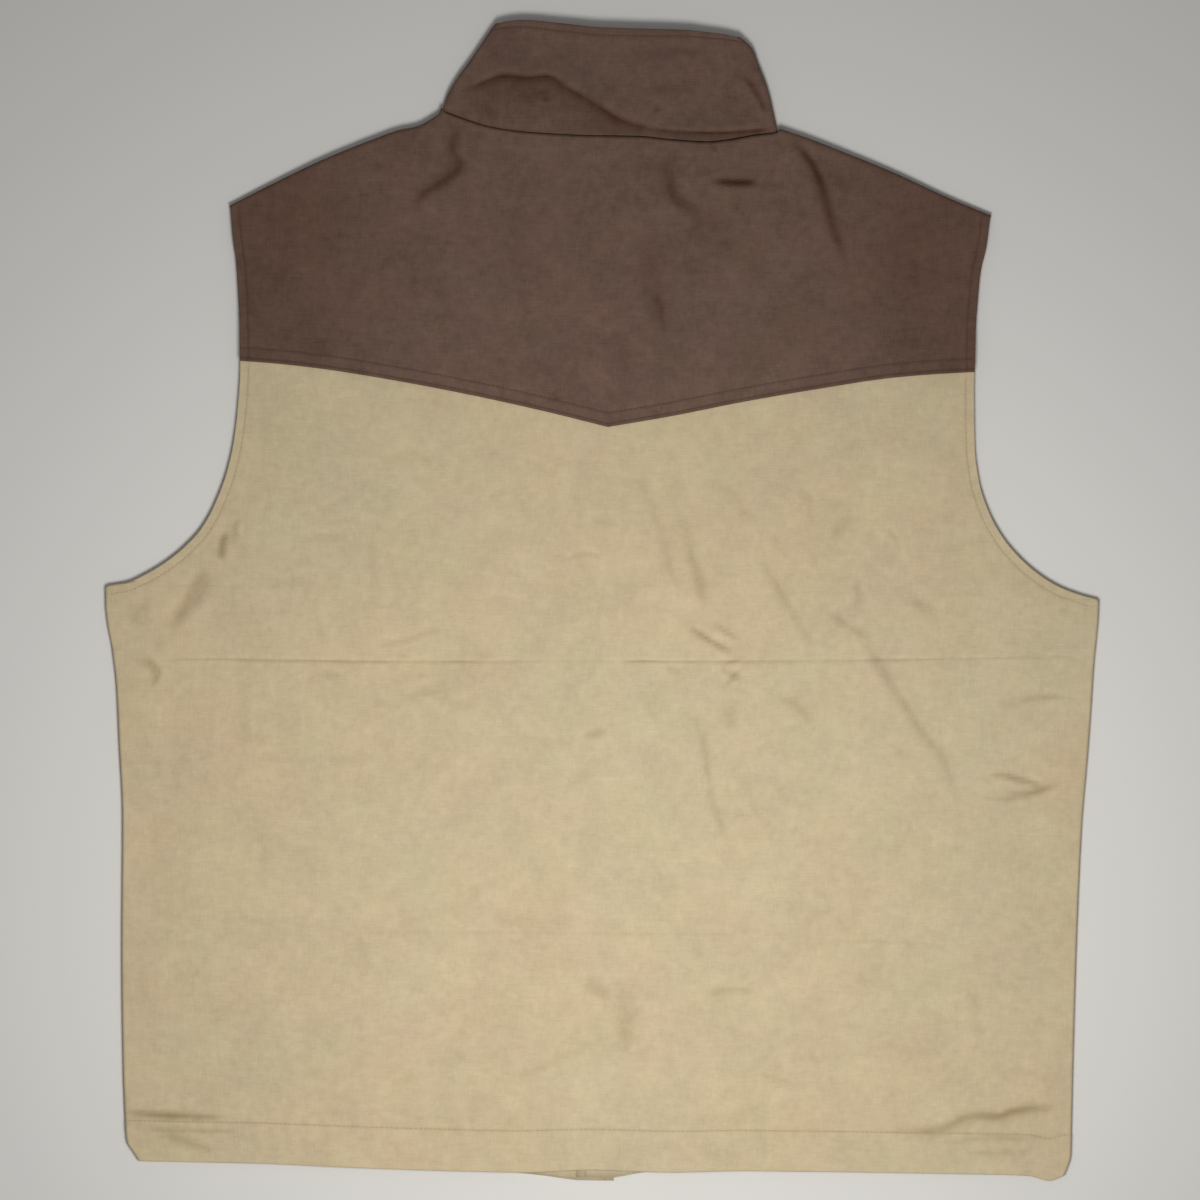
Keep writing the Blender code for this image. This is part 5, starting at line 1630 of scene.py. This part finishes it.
# %% Stitches of the collar and the fronts
row_numbers = np.arange(len(up))
top_stitch = []
for k in range(collar_grid.shape[1]):
    row = np.interp(COLLAR_STITCH, from_top[::-1, k], row_numbers[::-1])
    top_stitch.append([np.interp(row, row_numbers, collar_grid[:, k, axis]) for axis in (0, 1)])
top_stitch = np.array(top_stitch)
past_fold = COLLAR_FRONT_CELLS + COLLAR_FOLD_CELLS + 2
collar_runs = [
    (top_stitch[past_fold:-past_fold], collar_tree, 1),
    (top_stitch[3:COLLAR_FRONT_CELLS], collar_tree, -1),
    (top_stitch[-COLLAR_FRONT_CELLS:-3], collar_tree, -1),
]
collar_stitches = stitches("collar_stitches", collar_runs, brown_thread, 33)

MIDDLE_COLUMN = 60
front_stitches = []
for obj, grid, side in zip(fronts, front_grids, (-1, 1)):
    tree = tree_of(obj)
    lap_line = grid[:, 0 if side < 0 else -1, :2]
    arm_line = grid[:, -1 if side < 0 else 0, :2]
    arm_line = arm_line[arm_line[:, 1] > ARMPIT + 2 * MM]
    up_the_middle = grid[:, MIDDLE_COLUMN, 1] - grid[0, MIDDLE_COLUMN, 1]
    hem_number = int(np.argmin(np.abs(up_the_middle - HEM_DEPTH)))
    runs = [
        (offset_line(lap_line, ARMHOLE_STITCH), tree, -1),
        (offset_line(arm_line, -ARMHOLE_STITCH if side < 0 else ARMHOLE_STITCH), tree, -1),
        (grid[hem_number, 6:-6, :2], tree, -1),
    ]
    front_stitches.append(stitches(obj.name + "_stitches", runs, tan_thread, 34 + side))

# %% [markdown]
# Seven snaps close the front, six on the placket and one on the collar. Only their caps show, as
# shallow turned domes with a groove inside the rim, and they face the ground. A turned part is a
# profile spun round an axis. Blender's spin tool can do that, but it leaves doubled points at the
# axis to be merged, so here the rings of points are placed directly.

# %% Snaps
SNAP_PITCH = 99 * MM
TOP_SNAP_HEIGHT = 196 * MM
COLLAR_SNAP_HEIGHT = 258 * MM
PLACKET_SNAPS = 6
CAP_STEPS = 40
# Radius and height of the cap's profile in millimetres, from the middle of its face to its back
CAP_PROFILE = [
    (0.0, 0.30), (1.2, 0.27), (2.4, 0.20), (3.3, 0.16), (3.55, 0.30), (3.9, 0.34), (4.2, 0.18),
    (4.8, 0.04), (5.3, 0.0), (5.75, 0.06), (6.05, 0.22), (6.2, 0.5), (6.2, 0.8), (6.05, 1.05),
    (5.6, 1.2), (3.0, 1.2), (0.0, 1.2),
]


def snap(name, height):
    """A cap turned round its axis: a shallow dome with a groove inside its rim."""
    turns = [2 * math.pi * k / CAP_STEPS for k in range(CAP_STEPS)]
    rings = CAP_PROFILE[1:-1]
    points = [(0, 0, CAP_PROFILE[0][1] * MM)]
    points += [(r * MM * math.cos(turn), r * MM * math.sin(turn), z * MM) for r, z in rings for turn in turns]
    points.append((0, 0, CAP_PROFILE[-1][1] * MM))
    faces = []
    for k in range(CAP_STEPS):
        n = (k + 1) % CAP_STEPS
        starts = [1 + ring * CAP_STEPS for ring in range(len(rings))]
        faces.append([0, starts[0] + n, starts[0] + k])
        faces += [[a + k, a + n, b + n, b + k] for a, b in zip(starts, starts[1:])]
        faces.append([len(points) - 1, starts[-1] + k, starts[-1] + n])
    mesh = bpy.data.meshes.new(name)
    mesh.from_pydata(points, [], faces)
    mesh.update()
    mesh.shade_smooth()
    mesh.materials.append(antique_brass)
    obj = bpy.data.objects.new(name, mesh)
    obj.location = (0, height, 0)
    bpy.context.scene.collection.objects.link(obj)
    return obj


snaps = []
for number in range(PLACKET_SNAPS):
    cap = snap(f"snap_cap_{number + 1}", TOP_SNAP_HEIGHT - number * SNAP_PITCH)
    snaps.append((cap, f"snap_{number + 1}"))
snaps.append((snap("snap_cap_collar", COLLAR_SNAP_HEIGHT), "snap_collar"))
print("snaps:", len(snaps))

# %% [markdown]
# Each shell stands for a solid of the frame, which is hidden, and is listed with one of the part's
# materials. Everything rides on the vest's one body. Each sheet of cloth is listed with the size of
# its cut, how it lies and what is sewn to it, and its size and area are printed. The sizes are
# measured along the cloth and round its turned sides.

# %% Which piece stands for what
STANDS_FOR = [
    (back, "back_panel", "tan_canvas"),
    (yoke, "back_yoke", "brown_canvas"),
    (collar, "collar", "brown_canvas"),
    (fronts[0], "front_left", "tan_canvas"),
    (fronts[1], "front_right", "tan_canvas"),
    *[(cap, cad, "snap_metal") for cap, cad in snaps],
]
for obj, cad, slot in STANDS_FOR:
    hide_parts(cad)
    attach(obj, "root")
for obj in (back_stitches, yoke_stitches, collar_stitches, *front_stitches):
    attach(obj, "root")

# %% Cuts of the sheets
Cut = namedtuple("Cut", "piece size area rests_on sewn")
collar_width = float(np.linalg.norm(np.diff(collar_grid[0], axis=0), axis=-1).sum())
collar_height = float(np.linalg.norm(np.diff(collar_grid, axis=0), axis=-1).sum(axis=0).max())
caps = [cap for cap, _ in snaps]
CUTS = [
    Cut(back, (0.642, 0.535), back_area, ["left_front", "right_front"], [back_stitches]),
    Cut(yoke, (0.498, 0.262), yoke_area, ["back", "left_front", "right_front"], [yoke_stitches]),
    Cut(collar, (collar_width, collar_height), collar_area, ["left_front", "right_front"], [collar_stitches]),
    Cut(fronts[0], (0.334, 0.640), front_areas[0], ["right_front"], [front_stitches[0], *caps]),
    Cut(fronts[1], (0.334, 0.640), front_areas[1], ["left_front"], [front_stitches[1]]),
]
for cut in CUTS:
    print(cut.piece.name, "cut from", [round(v, 3) for v in cut.size], "area", round(cut.area, 4))

# %% [markdown]
# The photo looks straight down, and its creases are lit from near the hem. A disk lamp there gives
# soft shadows along them, and the world's pale light fills the shadows. A sun lamp would leave them
# hard. The camera is high above with a long lens, so that the vest keeps the outline that it has in
# the photo, and it is turned by a little less than a degree, as the photo is.

# %% Floor, light and camera
FLOOR_BELOW = 0.4 * MM
ROOM_LIGHT = 0.24
CAMERA_HEIGHT = 2.2
VEST_MIDDLE_HEIGHT = 6 * MM
SENSOR_WIDTH = 36
PHOTO_WIDTH = 0.768


def floor():
    """A pale floor, which is part of the stage and not of the vest."""
    bpy.ops.mesh.primitive_plane_add(size=12, location=(0, 0, -FLOOR_BELOW))
    obj = bpy.context.active_object
    obj.name = "floor"
    obj.data.materials.append(plain("floor_paint", (0.72, 0.71, 0.69), 0.9))
    obj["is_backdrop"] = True
    return obj


def area_light(name, place, size, power, colour):
    """A round lamp that shines at the middle of the vest."""
    data = bpy.data.lights.new(name, "AREA")
    data.shape = "DISK"
    data.size = size
    data.energy = power
    data.color = colour
    obj = bpy.data.objects.new(name, data)
    obj.location = place
    obj.rotation_mode = "QUATERNION"
    obj.rotation_quaternion = (Vector((0, 0, 0)) - Vector(place)).to_track_quat("-Z", "Y")
    obj.visible_camera = False
    bpy.context.scene.collection.objects.link(obj)
    return obj


floor()
area_light("overhead", (0.035, -0.275, 0.76), size=0.34, power=5.0, colour=(1.0, 0.985, 0.955))
world = bpy.data.worlds.new("room")
world.use_nodes = True
background = world.node_tree.nodes["Background"]
background.inputs["Color"].default_value = (1.0, 0.995, 0.985, 1)
background.inputs["Strength"].default_value = ROOM_LIGHT
bpy.context.scene.world = world
bpy.context.scene.view_settings.view_transform = "Standard"

camera_data = bpy.data.cameras.new("camera")
camera_data.sensor_width = SENSOR_WIDTH
camera_data.lens = SENSOR_WIDTH * (CAMERA_HEIGHT - VEST_MIDDLE_HEIGHT) / PHOTO_WIDTH
camera = bpy.data.objects.new("camera", camera_data)
camera.location = (-0.0019, 0.0007, CAMERA_HEIGHT)
camera.rotation_euler = (0, 0, math.radians(0.8))
bpy.context.scene.collection.objects.link(camera)
bpy.context.scene.camera = camera
print("camera lens:", round(camera_data.lens, 1))

# %% [markdown]
# Last, the size of the visual model is written down beside the size of the frame, so that the two
# can be compared. A model whose parts are in metres makes a wrong unit show at once here.

# %% Sizes against the frame, and the end
scene_bounds = [list(corner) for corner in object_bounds()]
for name, corners in (("frame", frame_bounds), ("scene", scene_bounds)):
    print(name, [[round(v * 1000, 1) for v in corner] for corner in corners])
